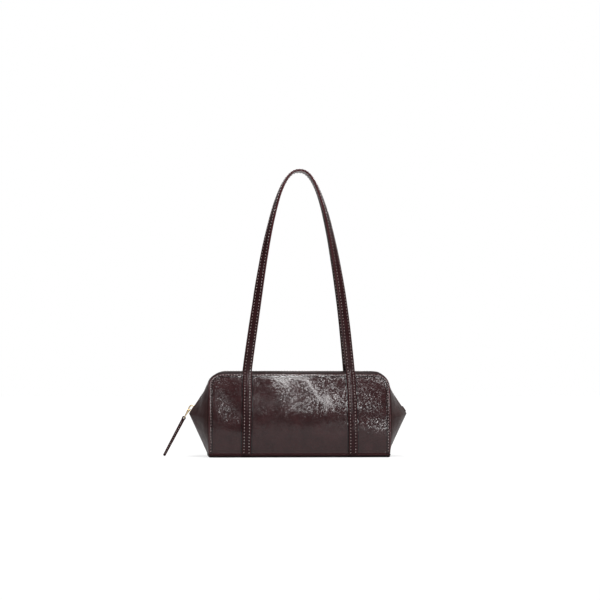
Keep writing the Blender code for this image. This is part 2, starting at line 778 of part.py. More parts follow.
def build_link(finishes):
    """A wire ring with straight bars, in the plane of its lean and of Y."""
    along, across = leaning(LINK_LEAN), np.array([0.0, 1.0, 0.0])
    normal = np.cross(along, across)
    middle = link_pivot() + along * LINK_LENGTH / 2
    spans = (LINK_LENGTH / 2 - LINK_CORNER, LINK_WIDTH / 2 - LINK_CORNER)
    centres, spokes = [], []
    for quarter, (u, v) in enumerate(((1, 1), (-1, 1), (-1, -1), (1, -1))):
        for turn in even(quarter * math.pi / 2, (quarter + 1) * math.pi / 2, EDGE_STEPS):
            spoke = math.cos(turn) * along + math.sin(turn) * across
            centres.append(middle + u * spans[0] * along + v * spans[1] * across + LINK_CORNER * spoke)
            spokes.append(spoke)
    angles = even(0, 2 * math.pi, WIRE_SIDES)[:-1]
    centres, spokes = np.array(centres)[:, None], np.array(spokes)[:, None]
    ring = centres + LINK_WIRE / 2 * (
        np.cos(angles)[None, :, None] * spokes + np.sin(angles)[None, :, None] * normal
    )
    add_tube("pull_link", ring, True, finishes["gold"], link_pivot())


def puller_outline():
    """A round head about the eye, a neck and a slowly narrowing strip, along and across its lean."""
    neck, end = PULLER_NECK_WIDTH / 2, PULLER_END_WIDTH / 2
    open_turn = math.asin(neck / PULLER_HEAD_RADIUS)
    turns = even(open_turn, 2 * math.pi - open_turn, 2 * WIRE_SIDES)
    head = [(PULLER_HEAD_RADIUS * math.cos(a), PULLER_HEAD_RADIUS * math.sin(a)) for a in turns]
    soft = end / 2
    tail = [(PULLER_LENGTH - soft, -end), (PULLER_LENGTH, -end + soft)]
    tail += [(PULLER_LENGTH, end - soft), (PULLER_LENGTH - soft, end)]
    return head + tail


def build_puller(finishes):
    """Two plies of leather with one eye punched through both."""
    eye = puller_eye()
    along = leaning(PULLER_LEAN)
    out = np.array([0.0, -1.0, 0.0])
    frame = (eye, along, np.cross(out, along), out)
    hole = LINK_WIRE / 2 + EYE_CLEARANCE
    ring = [(hole * math.cos(a), hole * math.sin(a)) for a in even(0, 2 * math.pi, 2 * WIRE_SIDES)[:-1]]
    reach = PULLER_PLY + GAP
    punch = guide(add_prism("guide_punch", ring, -2 * reach, 2 * reach, frame, finishes["strap"]))
    for word, low in (("back", -GAP / 2 - PULLER_PLY), ("front", GAP / 2)):
        ply = add_prism(
            f"puller_{word}", puller_outline(), low, low + PULLER_PLY, frame, finishes["strap"], eye
        )
        cut = ply.modifiers.new("eye", "BOOLEAN")
        cut.operation = "DIFFERENCE"
        cut.solver = "EXACT"
        cut.object = punch


# The straps


def leg_grid(side, hand, depth):
    """The sewn part of a strap on its panel, from the base seam to the top seam."""
    length = profile_length(0)
    b = even(GAP / 2 / length, 1 - GAP / 2 / length, PANEL_ROWS + EDGE_STEPS)
    middle = hand * (LEG_SPREAD + LEG_FLARE * (1 - b))
    edges = np.array([-STRAP_WIDTH / 2, 0.0, STRAP_WIDTH / 2])
    return panel_point(side, middle[:, None] + edges[None], b[:, None], depth)


def build_strap_legs(finishes):
    for side_word, side in SIDES:
        for hand_word, hand in ENDS:
            top, bottom = leg_grid(side, hand, -GAP - 2 * STRAP_PLY), leg_grid(side, hand, -GAP)
            add_sheet(f"{side_word}_{hand_word}_strap_leg", top, bottom, finishes["strap"])


def strap_pivot(side):
    """Just outside a sewn strap's face at the top seam, where the free strap bends."""
    return panel_point(side, 0.0, 1.0, -GAP - 2 * STRAP_PLY) + side * np.array([0.0, STRAP_PLY / 2, 0.0])


def strap_path(side, u):
    """Middle line of a free strap: height falls from the top with a power of the distance across."""
    foot = strap_pivot(side) - side * np.array([0.0, STRAP_PLY, 0.0])
    fall = np.abs(u) ** STRAP_CURVE_POWER
    crest_y = side * (STRAP_WIDTH / 2 + GAP / 2)
    y = crest_y + (foot[1] - crest_y) * fall
    z = foot[2] + 2 * GAP + STRAP_RISE * (1 - fall)
    return np.stack([LEG_SPREAD * u, y, z], -1)


def strap_steps(side):
    """Shares across the arch that are evenly spaced along it, from one foot to the other."""
    fine = even(-1, 1, 40 * STRAP_STEPS)
    lengths = np.linalg.norm(np.diff(strap_path(side, fine), axis=0), axis=1)
    run = np.concatenate([[0.0], np.cumsum(lengths)])
    return np.interp(even(0, run[-1], STRAP_STEPS), run, fine)


def strap_frames(side, u):
    """Directions along, across and out of a strap that turns its face from the front to the sky."""
    along = np.gradient(strap_path(side, u), axis=0)
    along /= np.linalg.norm(along, axis=1, keepdims=True)
    level = np.array([0.0, side, 0.0])
    rise = np.cross(along, level) * side
    rise /= np.linalg.norm(rise, axis=1, keepdims=True)
    face = level - along * (along @ level)[:, None]
    face /= np.linalg.norm(face, axis=1, keepdims=True)
    turn = math.pi / 2 * np.sin(math.pi / 2 * (1 - np.abs(u)))[:, None]
    skyward = rise * np.sign(rise[len(u) // 2, 2])
    out = np.cos(turn) * face + np.sin(turn) * skyward
    return along, np.cross(along, out), out


def build_straps(finishes):
    """Each free strap is two plies back to back, the face ply on the outside."""
    edges = np.array([-STRAP_WIDTH / 2, STRAP_WIDTH / 2])[None, :, None]
    for word, side in SIDES:
        u = strap_steps(side)
        path = strap_path(side, u)
        _, across, out = strap_frames(side, u)
        across, out = across[:, None], out[:, None]
        for ply, low in (("backing", -STRAP_PLY), ("face", GAP)):
            thick = STRAP_PLY - GAP / 2
            low = low - GAP / 2
            grids = [path[:, None] + across * edges + out * level for level in (low + thick, low)]
            add_sheet(f"{word}_strap_{ply}", *grids, finishes["strap"], strap_pivot(side))


def main():
    for obj in list(bpy.data.objects):
        bpy.data.objects.remove(obj)
    finishes = all_finishes()
    build_panels(finishes)
    build_base(finishes)
    build_gusset_ends(finishes)
    build_mouth(finishes)
    build_teeth(finishes)
    build_zip_ends(finishes)
    build_slider(finishes)
    build_link(finishes)
    build_puller(finishes)
    build_strap_legs(finishes)
    build_straps(finishes)


main()
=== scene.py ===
"""A small barrel-shaped handbag with pointed ends, in finely crinkled, glazed dark leather.

Metres, +Z up, -Y is the front. The file follows the bag as it is put together: the view and the
studio, the leather body, its lining, the zip, the slider and its pull, and the two straps.
"""

import math

import bpy
import numpy as np
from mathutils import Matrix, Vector


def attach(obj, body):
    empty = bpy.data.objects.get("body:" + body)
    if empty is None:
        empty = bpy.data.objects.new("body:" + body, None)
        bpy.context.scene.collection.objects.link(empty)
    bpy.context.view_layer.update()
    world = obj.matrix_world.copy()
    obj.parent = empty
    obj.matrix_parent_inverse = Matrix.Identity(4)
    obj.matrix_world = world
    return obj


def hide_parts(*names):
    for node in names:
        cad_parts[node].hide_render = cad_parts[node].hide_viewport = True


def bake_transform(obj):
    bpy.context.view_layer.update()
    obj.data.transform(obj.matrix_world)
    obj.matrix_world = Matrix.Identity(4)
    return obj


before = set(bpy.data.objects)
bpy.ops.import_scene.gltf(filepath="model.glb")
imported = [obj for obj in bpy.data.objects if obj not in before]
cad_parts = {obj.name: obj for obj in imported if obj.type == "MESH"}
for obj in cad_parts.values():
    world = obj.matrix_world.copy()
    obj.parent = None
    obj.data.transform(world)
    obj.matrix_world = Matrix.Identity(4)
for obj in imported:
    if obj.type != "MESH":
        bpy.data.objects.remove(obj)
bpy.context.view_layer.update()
for startup in ("Cube", "Light", "Camera"):
    if startup in bpy.data.objects:
        bpy.data.objects.remove(bpy.data.objects[startup])
MM = 0.001


# The view: a long lens low over the table, level with the middle of the body and turned a few
# degrees towards the slider's end, with the bag small in a square frame.

IMAGE_PIXELS = 600
SENSOR_WIDTH_IN_MM = 36.0
FOCAL_PIXELS = 1858.5
VIEW_AZIMUTH = math.radians(-3.0)
VIEW_ELEVATION = math.radians(-2.64)
VIEW_DISTANCE = 2.4
VIEW_TARGET = np.array([0.0027, 0.0, 0.2011])


def direction(azimuth, elevation):
    """A unit vector from the bag: the azimuth turns from the front (-Y) to +X, the elevation rises."""
    level = math.cos(elevation)
    return np.array([math.sin(azimuth) * level, -math.cos(azimuth) * level, math.sin(elevation)])


def aimed(obj, place, target):
    """Puts a camera or lamp at a place with its -Z axis at the target and its Y axis upward."""
    obj.location = Vector(place)
    obj.rotation_euler = (Vector(target) - Vector(place)).to_track_quat("-Z", "Y").to_euler()
    bpy.context.scene.collection.objects.link(obj)
    return obj


lens = bpy.data.cameras.new("view")
lens.sensor_width = SENSOR_WIDTH_IN_MM
lens.lens = FOCAL_PIXELS / IMAGE_PIXELS * SENSOR_WIDTH_IN_MM
lens.clip_end = 100.0
viewpoint = VIEW_TARGET + VIEW_DISTANCE * direction(VIEW_AZIMUTH, VIEW_ELEVATION)
bpy.context.scene.camera = aimed(bpy.data.objects.new("view", lens), viewpoint, VIEW_TARGET)
bpy.context.scene.view_settings.view_transform = "Standard"


# The studio: a white table that runs out to a white room, dark behind the camera and dim to the left.
# Long narrow lamps, one in front that slants over the bag and one overhead, draw the lights on the leather.

FLOOR_SIZE = 24.0
TABLE_WHITE, TABLE_WHITE_SEEN = 0.62, 0.32
GLOW_REACH, GLOW = (0.5, 2.5), (0.74, 0.90)
ROOM_DARK, ROOM_LIGHT = (0.15, 0.14, 0.15, 1.0), 0.55


def add_node(tree, kind, inputs=None, **settings):
    """A node with its settings, and its inputs set to values or linked to sockets."""
    node = tree.nodes.new(kind)
    for key, value in settings.items():
        setattr(node, key, value)
    for key, value in (inputs or {}).items():
        if isinstance(value, bpy.types.NodeSocket):
            tree.links.new(value, node.inputs[key])
        else:
            node.inputs[key].default_value = value
    return node


def math_node(tree, operation, *values, clamp=False):
    """The result of one sum on values or sockets."""
    inputs = dict(enumerate(values))
    return add_node(tree, "ShaderNodeMath", inputs, operation=operation, use_clamp=clamp).outputs[0]


def vector_node(tree, operation, first, second=None):
    """The result of one sum on vectors. To scale one, the second is a number."""
    inputs = {0: first}
    if second is not None:
        inputs["Scale" if operation == "SCALE" else 1] = second
    result = "Value" if operation in ("LENGTH", "DOT_PRODUCT") else "Vector"
    return add_node(tree, "ShaderNodeVectorMath", inputs, operation=operation).outputs[result]


def map_range(tree, value, start, end, low, high, smooth=False):
    """Runs from low to high while the value runs from start to end, and stays level past them."""
    inputs = {0: value, 1: start, 2: end, 3: low, 4: high}
    kind = "SMOOTHSTEP" if smooth else "LINEAR"
    return add_node(tree, "ShaderNodeMapRange", inputs, interpolation_type=kind).outputs[0]


def mixed(tree, factor, first, second):
    """A colour between two colours or sockets."""
    inputs = {0: factor, 6: first, 7: second}
    return add_node(tree, "ShaderNodeMix", inputs, data_type="RGBA").outputs[2]


def grey(level):
    """A colour with three like parts."""
    return level, level, level, 1.0


def seen_or_reflected(tree):
    """1 for camera, glossy and transmission rays, and 0 for the rays that light the scene."""
    path = add_node(tree, "ShaderNodeLightPath").outputs
    either = math_node(tree, "MAXIMUM", path["Is Camera Ray"], path["Is Glossy Ray"])
    return math_node(tree, "MAXIMUM", either, path["Is Transmission Ray"])


def white_table():
    """A matt white top. To the eye its unshaded parts are pure white, also far off where the lamps don't
    reach, and shadows still darken it."""
    material = bpy.data.materials.new("white_table")
    material.use_nodes = True
    tree = material.node_tree
    tree.nodes.clear()
    lighting = add_node(tree, "ShaderNodeBsdfDiffuse", {"Color": grey(TABLE_WHITE)}).outputs[0]
    seen = add_node(tree, "ShaderNodeBsdfDiffuse", {"Color": grey(TABLE_WHITE_SEEN)}).outputs[0]
    away = vector_node(tree, "LENGTH", add_node(tree, "ShaderNodeTexCoord").outputs["Object"])
    strength = map_range(tree, away, *GLOW_REACH, *GLOW)
    glow = add_node(tree, "ShaderNodeEmission", {"Color": grey(1.0), "Strength": strength}).outputs[0]
    lit = add_node(tree, "ShaderNodeAddShader", {0: seen, 1: glow}).outputs[0]
    choice = {0: seen_or_reflected(tree), 1: lighting, 2: lit}
    both = add_node(tree, "ShaderNodeMixShader", choice).outputs[0]
    add_node(tree, "ShaderNodeOutputMaterial", {"Surface": both})
    return material


half = FLOOR_SIZE / 2
table_mesh = bpy.data.meshes.new("table_top")
corners = [(-half, -half, 0.0), (half, -half, 0.0), (half, half, 0.0), (-half, half, 0.0)]
table_mesh.from_pydata(corners, [], [(0, 1, 2, 3)])
table_mesh.materials.append(white_table())
table_top = bpy.data.objects.new("table_top", table_mesh)
bpy.context.scene.collection.objects.link(table_top)

room = bpy.data.worlds.new("white_room")
room.use_nodes = True
bpy.context.scene.world = room
tree = room.node_tree
tree.nodes.clear()
heading = add_node(tree, "ShaderNodeTexCoord").outputs["Generated"]
part = add_node(tree, "ShaderNodeSeparateXYZ", {0: heading}).outputs
# Reflections find the white backdrop low down behind the bag, which is brightest on the right.
behind = map_range(tree, part["Y"], -0.1, 0.5, 0.0, 1.0, smooth=True)
right = map_range(tree, part["X"], -0.85, 0.1, 0.35, 1.0, smooth=True)
low = map_range(tree, part["Z"], 0.25, 0.75, 1.0, 0.0, smooth=True)
white = math_node(tree, "MULTIPLY", math_node(tree, "MULTIPLY", behind, low), right)
shade = mixed(tree, white, ROOM_DARK, grey(1.0))
path = add_node(tree, "ShaderNodeLightPath").outputs
shade = mixed(tree, path["Is Diffuse Ray"], shade, grey(ROOM_LIGHT))
shade = mixed(tree, path["Is Camera Ray"], shade, grey(1.0))
sky = add_node(tree, "ShaderNodeBackground", {"Color": shade, "Strength": 1.0}).outputs[0]
add_node(tree, "ShaderNodeOutputWorld", {"Surface": sky})

LAMPS = (
    # Name, place, target, size along its X and Y, watts, turn about its own axis. These numbers are the
    # result of the same fit as the soft folds below, made by a program outside this file.
    #     # result of the same fit as the soft folds below.
    ("overhead", (0.047, 0.222, 1.50), (0.047, 0.222, 0.0), (0.044, 0.33), 6.1, 0.0),
    ("slanting_front", (0.094, -0.60, 0.839), (0.094, -0.10, 0.20), (0.04, 1.52), 8.35, 4.2),
    ("low_right", (0.398, -1.15, 0.091), (0.0, 0.0, 0.07), (0.04, 0.157), 1.5, 0.0),
    ("narrow_left", (-0.105, -1.20, 0.78), (-0.105, 0.0, 0.78), (0.06, 1.20), 0.74, -9.8),
)
for name, place, target, size, watts, turn in LAMPS:
    lamp = bpy.data.lights.new(name, "AREA")
    lamp.shape = "RECTANGLE"
    lamp.size, lamp.size_y = size
    lamp.energy = watts
    aimed(bpy.data.objects.new(name, lamp), place, target).rotation_euler.rotate_axis("Z", math.radians(turn))


# The front and back panels: one piece of leather each, 1.5 mm thick, crowned and a little slack,
# with rounded top corners. Their edges are folded over and stitched down onto the gusset.

GAP = 0.3 * MM
LEATHER = 1.5 * MM
PANEL_LENGTH = 230 * MM
BODY_HEIGHT = 109 * MM
BODY_DEPTH = 100 * MM
SEAM_DROP = 3.5 * MM
BASE_RIM_HEIGHT = 4.5 * MM
PANEL_CORNER_RADIUS = 18 * MM
PANEL_CROWN = 3 * MM
# The section's values were chosen by hand, then spaced evenly along it by a program outside this file.
SECTION_HEIGHT_SHARES = (0.0, 0.173, 0.349, 0.525, 0.697, 0.857, 1.0)
SECTION_DEPTH_SHARES = (0.92, 0.991, 0.997, 0.964, 0.883, 0.738, 0.53)
SIDES = (("front", -1), ("back", 1))
PANEL_STEP = 1.1 * MM
EDGE_PLACES = np.array([0.0, 0.15, 0.4, 0.8, 1.3, 1.9, 2.4, 2.8, 3.2, 3.7, 4.3, 4.9, 5.4, 6.0, 6.8]) * MM
STITCH_INSET = 2.9 * MM
STITCH_INSET_ON_TOP = 2.0 * MM
STITCH_PITCH = 3.65 * MM
STITCH_SIDES = 6
HOLLOW_INSET = 5.2 * MM
HOLLOW_DEPTH = 0.10 * MM
BAND_REACH, BAND_SOFTNESS = 2.4 * MM, 1.4 * MM
GROOVE_DEPTH, GROOVE_WIDTH = 0.28 * MM, 0.75 * MM
WORN_EDGE = 1.3 * MM
LEG_SPREAD = 65.7 * MM
LEG_FLARE = 1.7 * MM
LEG_HOLLOW = 6.0 * MM
SHARP_ANGLE = math.radians(40)


def unit(vectors):
    """The same vectors at a length of one."""
    return vectors / np.linalg.norm(vectors, axis=-1, keepdims=True)


def bell(distance, width):
    """One at a line, falling off to both sides as the Gauss curve of the distance over a width."""
    return np.exp(-((distance / width) ** 2))


def eased(share):
    """From 0 to 1, level at both ends: three times the square less twice the cube."""
    share = np.clip(share, 0, 1)
    return share * share * (3 - 2 * share)


def run_along(line):
    """How far along a line each of its points is."""
    return np.concatenate([[0.0], np.cumsum(np.linalg.norm(np.diff(line, axis=0), axis=1))])


def read_at(places, run, values):
    """Values along a line, read at other places between its points."""
    return np.stack([np.interp(places, run, column) for column in values.T], -1)


def add_piece(name, points, quads, material, uv, uv_quads=None, masks=None):
    """A mesh from quads. Points that meet are joined, so a quad with two like corners becomes a
    triangle, and the faces are turned so that the volume they enclose is positive."""
    uv_quads = quads if uv_quads is None else uv_quads
    _, first, joined = np.unique(np.round(points, 8), axis=0, return_index=True, return_inverse=True)
    points, quads = points[first], joined.reshape(-1)[quads]
    a, b, c, d = (points[quads[:, k]] for k in range(4))
    if (a * np.cross(b, c)).sum() + (a * np.cross(c, d)).sum() < 0:
        quads, uv_quads = quads[:, ::-1], uv_quads[:, ::-1]
    used = quads != np.roll(quads, -1, axis=1)
    sizes = used.sum(1)
    whole = sizes > 2
    used, sizes = used[whole], sizes[whole]
    corners, flat = quads[whole][used], uv[uv_quads[whole][used]]
    mesh = bpy.data.meshes.new(name)
    mesh.vertices.add(len(points))
    mesh.vertices.foreach_set("co", points.astype(np.float32).ravel())
    mesh.loops.add(len(corners))
    mesh.loops.foreach_set("vertex_index", corners.astype(np.int32))
    mesh.polygons.add(len(sizes))
    mesh.polygons.foreach_set("loop_start", (np.cumsum(sizes) - sizes).astype(np.int32))
    mesh.update(calc_edges=True)
    mesh.uv_layers.new(name="pattern").data.foreach_set("uv", flat.astype(np.float32).ravel())
    for label, values in (masks or {}).items():
        mask = mesh.attributes.new(label, "FLOAT", "POINT")
        mask.data.foreach_set("value", values[first].astype(np.float32))
    mesh.shade_smooth()
    mesh.set_sharp_from_angle(angle=SHARP_ANGLE)
    mesh.materials.append(material)
    obj = bpy.data.objects.new(name, mesh)
    bpy.context.scene.collection.objects.link(obj)
    return obj


def grid_quads(rows, columns, closed=False):
    """The corners of each cell of a grid of points kept row by row. A closed grid's last column meets
    its first."""
    cells = columns if closed else columns - 1
    r, c = np.meshgrid(np.arange(rows - 1), np.arange(cells), indexing="ij")
    low, after = r * columns, (c + 1) % columns
    corners = [low + c, low + after, low + columns + after, low + columns + c]
    return np.stack(corners, -1).reshape(-1, 4)


def laid_flat(grid):
    """UV of a sheet in metres: the distance along each row from its middle, and along each column from
    its foot."""
    across = np.cumsum(np.linalg.norm(np.diff(grid, axis=1, prepend=grid[:, :1]), axis=2), axis=1)
    along = np.cumsum(np.linalg.norm(np.diff(grid, axis=0, prepend=grid[:1]), axis=2), axis=0)
    across -= across[:, [grid.shape[1] // 2]]
    return np.stack([across, along], -1)


def add_sheet(name, outer, inner, material, kept=None, masks=None):
    """A closed sheet between two grids of points of one shape (rows, columns, 3), with a wall along each
    free edge."""
    rows, columns = outer.shape[:2]
    quads = grid_quads(rows, columns)
    if kept is not None:
        quads = quads[kept.ravel()]
    edges = np.stack([quads, np.roll(quads, -1, axis=1)], -1).reshape(-1, 2)
    _, place, uses = np.unique(np.sort(edges, axis=1), axis=0, return_index=True, return_counts=True)
    rim = edges[place[uses == 1]]
    count = rows * columns
    walls = np.column_stack([rim[:, 1], rim[:, 0], rim[:, 0] + count, rim[:, 1] + count])
    faces = np.concatenate([quads, quads[:, ::-1] + count, walls])
    points = np.concatenate([outer.reshape(-1, 3), inner.reshape(-1, 3)])
    flat = laid_flat(outer).reshape(-1, 2)
    doubled = {label: np.tile(values.ravel(), 2) for label, values in (masks or {}).items()}
    return add_piece(name, points, faces, material, np.tile(flat, (2, 1)), masks=doubled)


def curve_through(values, share):
    """A smooth curve through evenly spaced values: each stretch is a cubic that leaves a value in the
    direction from the one before it to the one after it."""
    points = np.asarray(values, float)
    points = np.concatenate([[2 * points[0] - points[1]], points, [2 * points[-1] - points[-2]]])
    spot = np.clip(np.asarray(share) * (len(values) - 1), 0, len(values) - 1 - 1e-9)
    k = spot.astype(int)
    f = spot - k
    a, b, c, d = points[k], points[k + 1], points[k + 2], points[k + 3]
    return b + f / 2 * (c - a + f * (2 * a - 5 * b + 4 * c - d + f * (3 * (b - c) + d - a)))


SOFTENING = np.linspace(-0.07, 0.07, 9)


def panel_section(share, depth):
    """Distance from the middle and height of a panel's section, from its bottom seam (0) to its top seam (1):
    the curve through the section's values, evened out over a short stretch to either side."""
    share = np.asarray(share, float)
    near = np.clip(np.minimum(share, 1 - share) / SOFTENING[-1], 0, 1)
    spread = share[..., None] + near[..., None] * SOFTENING
    reach = curve_through(SECTION_DEPTH_SHARES, spread).mean(-1)
    climb = curve_through(SECTION_HEIGHT_SHARES, spread).mean(-1)
    top = BODY_HEIGHT - SEAM_DROP - depth
    return (BODY_DEPTH / 2 - depth) * reach, BASE_RIM_HEIGHT + (top - BASE_RIM_HEIGHT) * climb


def section_length(depth):
    """The length of a panel's section, measured along it."""
    reach, height = panel_section(np.linspace(0, 1, 200), depth)
    return float(np.hypot(np.diff(reach), np.diff(height)).sum())


def panel_surface(side, x, share, depth=0.0):
    """The front (side -1) or back (side 1) panel: its section, bowed out by a parabola along the bag
    times a half wave up the section. The depth sinks it into the bag."""
    x, share = np.broadcast_arrays(np.asarray(x, float), np.asarray(share, float))
    reach, height = panel_section(share, depth)
    bow = 1 - np.clip(np.abs(x) / (PANEL_LENGTH / 2 - depth), 0, 1) ** 2
    return np.stack([x, side * (reach + PANEL_CROWN * bow * np.sin(np.pi * share)), height], -1)


def panel_normal(side, x, share):
    """The outward normal of a panel: the cross product of its two directions, each from a small step."""
    step = 0.002
    x, share = np.broadcast_arrays(np.asarray(x, float), np.asarray(share, float))
    low, high = np.clip(share - step, 0, 1), np.clip(share + step, 0, 1)
    along = panel_surface(side, x + MM, share) - panel_surface(side, x - MM, share)
    up = panel_surface(side, x, high) - panel_surface(side, x, low)
    return unit(side * np.cross(up, along))


SECTION_LENGTH = section_length(0.0)


def panel_half_width(share, depth=0.0):
    """Half of a panel's length at a share of its section: straight sides, then a quarter round."""
    radius = PANEL_CORNER_RADIUS - depth
    into = np.clip(radius - (1 - np.asarray(share)) * section_length(depth), 0, radius)
    return PANEL_LENGTH / 2 - depth - radius + np.sqrt(radius**2 - into**2)


def edge_distance(x, share, foot=True):
    """The distance in the flat leather from a point to the panel's cut edge, which is rounded at the top
    corners. The edge along the foot can be left out."""
    up = np.asarray(share) * SECTION_LENGTH
    right = np.abs(x) - (PANEL_LENGTH / 2 - PANEL_CORNER_RADIUS)
    above = up - (SECTION_LENGTH - PANEL_CORNER_RADIUS)
    plain = np.minimum(PANEL_CORNER_RADIUS - right, PANEL_CORNER_RADIUS - above)
    corner = PANEL_CORNER_RADIUS - np.hypot(right, above)
    sides_and_top = np.where((right > 0) & (above > 0), corner, plain)
    return np.minimum(sides_and_top, up) if foot else sides_and_top


def waves(across, along, length, seed, count=9):
    """Between about -1 and 1: a sum of plane waves of about one length, each with its own direction and
    phase."""
    random = np.random.default_rng(seed)
    turn, phase = random.uniform(0, math.pi, count), random.uniform(0, 2 * math.pi, count)
    pace = 2 * math.pi / (length * random.uniform(0.75, 1.35, count))
    level = np.asarray(across)[..., None] * np.cos(turn) + np.asarray(along)[..., None] * np.sin(turn)
    return np.sin(level * pace + phase).sum(-1) / math.sqrt(count)


def folded_edge(distance, height=0.14 * MM, drop=1.2 * MM, round_over=1.0 * MM, inset=STITCH_INSET):
    """The relief of a folded and stitched edge at a distance from it: a low band as wide as the fold, a
    groove pressed in by the stitches, and a quarter round at the very edge."""
    band = height * (0.5 - 0.5 * np.tanh((distance - inset - BAND_REACH) / BAND_SOFTNESS))
    groove = GROOVE_DEPTH * bell(distance - inset, GROOVE_WIDTH)
    near = np.clip(1 - distance / round_over, 0, 1)
    return band - groove - drop * (1 - np.sqrt(1 - near**2))


def painted_hollow_shade(x, share):
    """0 to 1: painted shade, at a half under the stitches and in the hollow behind the folded edge, and full
    in a line on each side of a strap's leg."""
    distance = edge_distance(x, share, foot=False)
    begins = np.clip((distance - STITCH_INSET + 0.9 * MM) / (0.5 * MM), 0, 1)
    ends = np.clip((HOLLOW_INSET + 0.8 * MM - distance) / (0.8 * MM), 0, 1)
    from_leg = np.abs(np.abs(np.abs(x) - LEG_SPREAD - LEG_FLARE * (1 - share)) - LEG_HOLLOW)
    return np.maximum(0.5 * begins * ends, bell(from_leg, 1.0 * MM))


SOFT_FOLDS = np.array([
    # From X, up the leather, to X, up the leather, height and half width, in millimetres. These numbers
    # are the result of a fit of the lights on the front panel, made by a program outside this file.
    #     # are the result of a fit of the lights on the front panel.
    (-48.5, 74.5, 16.5, 62.6, -0.11, 6.1),
    (6.6, 85.2, 34.5, 79.3, 0.68, 16.0),
    (5.5, 64.4, 39.3, 52.7, 0.70, 16.0),
    (-49.6, 65.5, -1.5, 44.7, -0.15, 6.7),
    (-19.7, 57.9, 48.6, 55.0, -0.28, 7.4),
    (-115.1, 60.2, -91.5, 29.5, 0.80, 9.2),
    (-94.5, 100.1, -85.0, 54.5, -0.42, 16.0),
    (115.0, 65.9, 109.4, 72.5, 0.46, 14.0),
    (60.5, 71.2, 103.3, 80.9, 0.52, 16.0),
    (-35.3, 102.4, -24.7, 67.7, 0.78, 16.0),
    (-36.2, 34.4, -36.5, 16.1, -0.80, 16.0),
    (11.9, 58.3, 87.0, 2.7, -0.48, 16.0),
    (96.2, 98.2, 105.5, 90.3, -0.80, 16.0),
    (61.8, 101.9, 78.1, 104.1, -0.80, 12.6),
    (17.3, 82.7, 13.6, 98.1, 0.55, 14.1),
    (-89.6, 67.9, -66.3, 37.4, -0.80, 10.1),
]) * MM


def soft_folds(x, up):
    """The sum of the swells and hollows of slack leather: each falls off from its line as the Gauss curve
    of the distance over its half width, and past the line's ends a little more slowly."""
    total = np.zeros(np.broadcast(x, up).shape)
    for x0, up0, x1, up1, height, width in SOFT_FOLDS:
        length = math.hypot(x1 - x0, up1 - up0)
        along = ((x - x0) * (x1 - x0) + (up - up0) * (up1 - up0)) / length
        aside = ((up - up0) * (x1 - x0) - (x - x0) * (up1 - up0)) / length
        past = np.maximum(np.abs(along - length / 2) - length / 2, 0)
        total += height * np.exp(-((aside / width) ** 2) - (past / (1.3 * width)) ** 2)
    return total


def panel_relief(side, x, share):
    """How far a panel stands out from its plain surface: the folded edge with the hollows beside it, and,
    fading out towards the edges, the soft folds and small waves of slack leather and its pebbling."""
    distance = edge_distance(x, share)
    hollow = bell(edge_distance(x, share, foot=False) - HOLLOW_INSET, 1.2 * MM)
    up = share * SECTION_LENGTH
    inner = np.clip((distance - 2 * MM) / (9 * MM), 0, 1)
    slack = soft_folds(-side * x, up) + 0.02 * MM * waves(x, up, 15 * MM, 21 + side)
    fine = 0.006 * MM * waves(x, up, 4.2 * MM, 51 + side, 14)
    plain = folded_edge(distance) + inner * slack + np.clip(distance / (4 * MM), 0, 1) * fine
    return plain - HOLLOW_DEPTH * hollow


def close_at_edges(length, step, low=EDGE_PLACES, high=EDGE_PLACES):
    """Places from 0 to a length, close together by both edges and a step apart between them."""
    count = max(2, round((length - low[-1] - high[-1]) / step) + 1)
    middle = np.linspace(low[-1], length - high[-1], count)
    return np.concatenate([low[:-1], middle, length - high[::-1][1:]])


def panel_grid():
    """X and share of the points of a panel, set back from its seams by half a gap."""
    up = np.clip(close_at_edges(SECTION_LENGTH, PANEL_STEP), GAP / 2, SECTION_LENGTH - GAP / 2)
    share = up / SECTION_LENGTH
    u = close_at_edges(PANEL_LENGTH, PANEL_STEP) / (PANEL_LENGTH / 2) - 1
    return u[None] * (panel_half_width(share) - GAP / 2)[:, None], share[:, None]


def shader_group(name, inputs, outputs):
    """An empty node group with named inputs, each a number, a place or a colour, and named outputs. With it
    come the sockets inside it that its inputs come from and its outputs go to."""
    kinds = {1: "NodeSocketFloat", 3: "NodeSocketVector", 4: "NodeSocketColor"}
    group = bpy.data.node_groups.new(name, "ShaderNodeTree")
    for label, value in inputs.items():
        socket = group.interface.new_socket(name=label, in_out="INPUT", socket_type=kinds[np.size(value)])
        socket.default_value = value
    for label, kind in outputs.items():
        group.interface.new_socket(name=label, in_out="OUTPUT", socket_type=kind)
    return group, group.nodes.new("NodeGroupInput").outputs, group.nodes.new("NodeGroupOutput").inputs


def noise_at(tree, place, scale, detail=2.0, output="Fac"):
    """Soft flat noise with this many features a millimetre, between about 0 and 1."""
    inputs = {"Vector": place, "Scale": scale, "Detail": detail}
    return add_node(tree, "ShaderNodeTexNoise", inputs, noise_dimensions="2D").outputs[output]


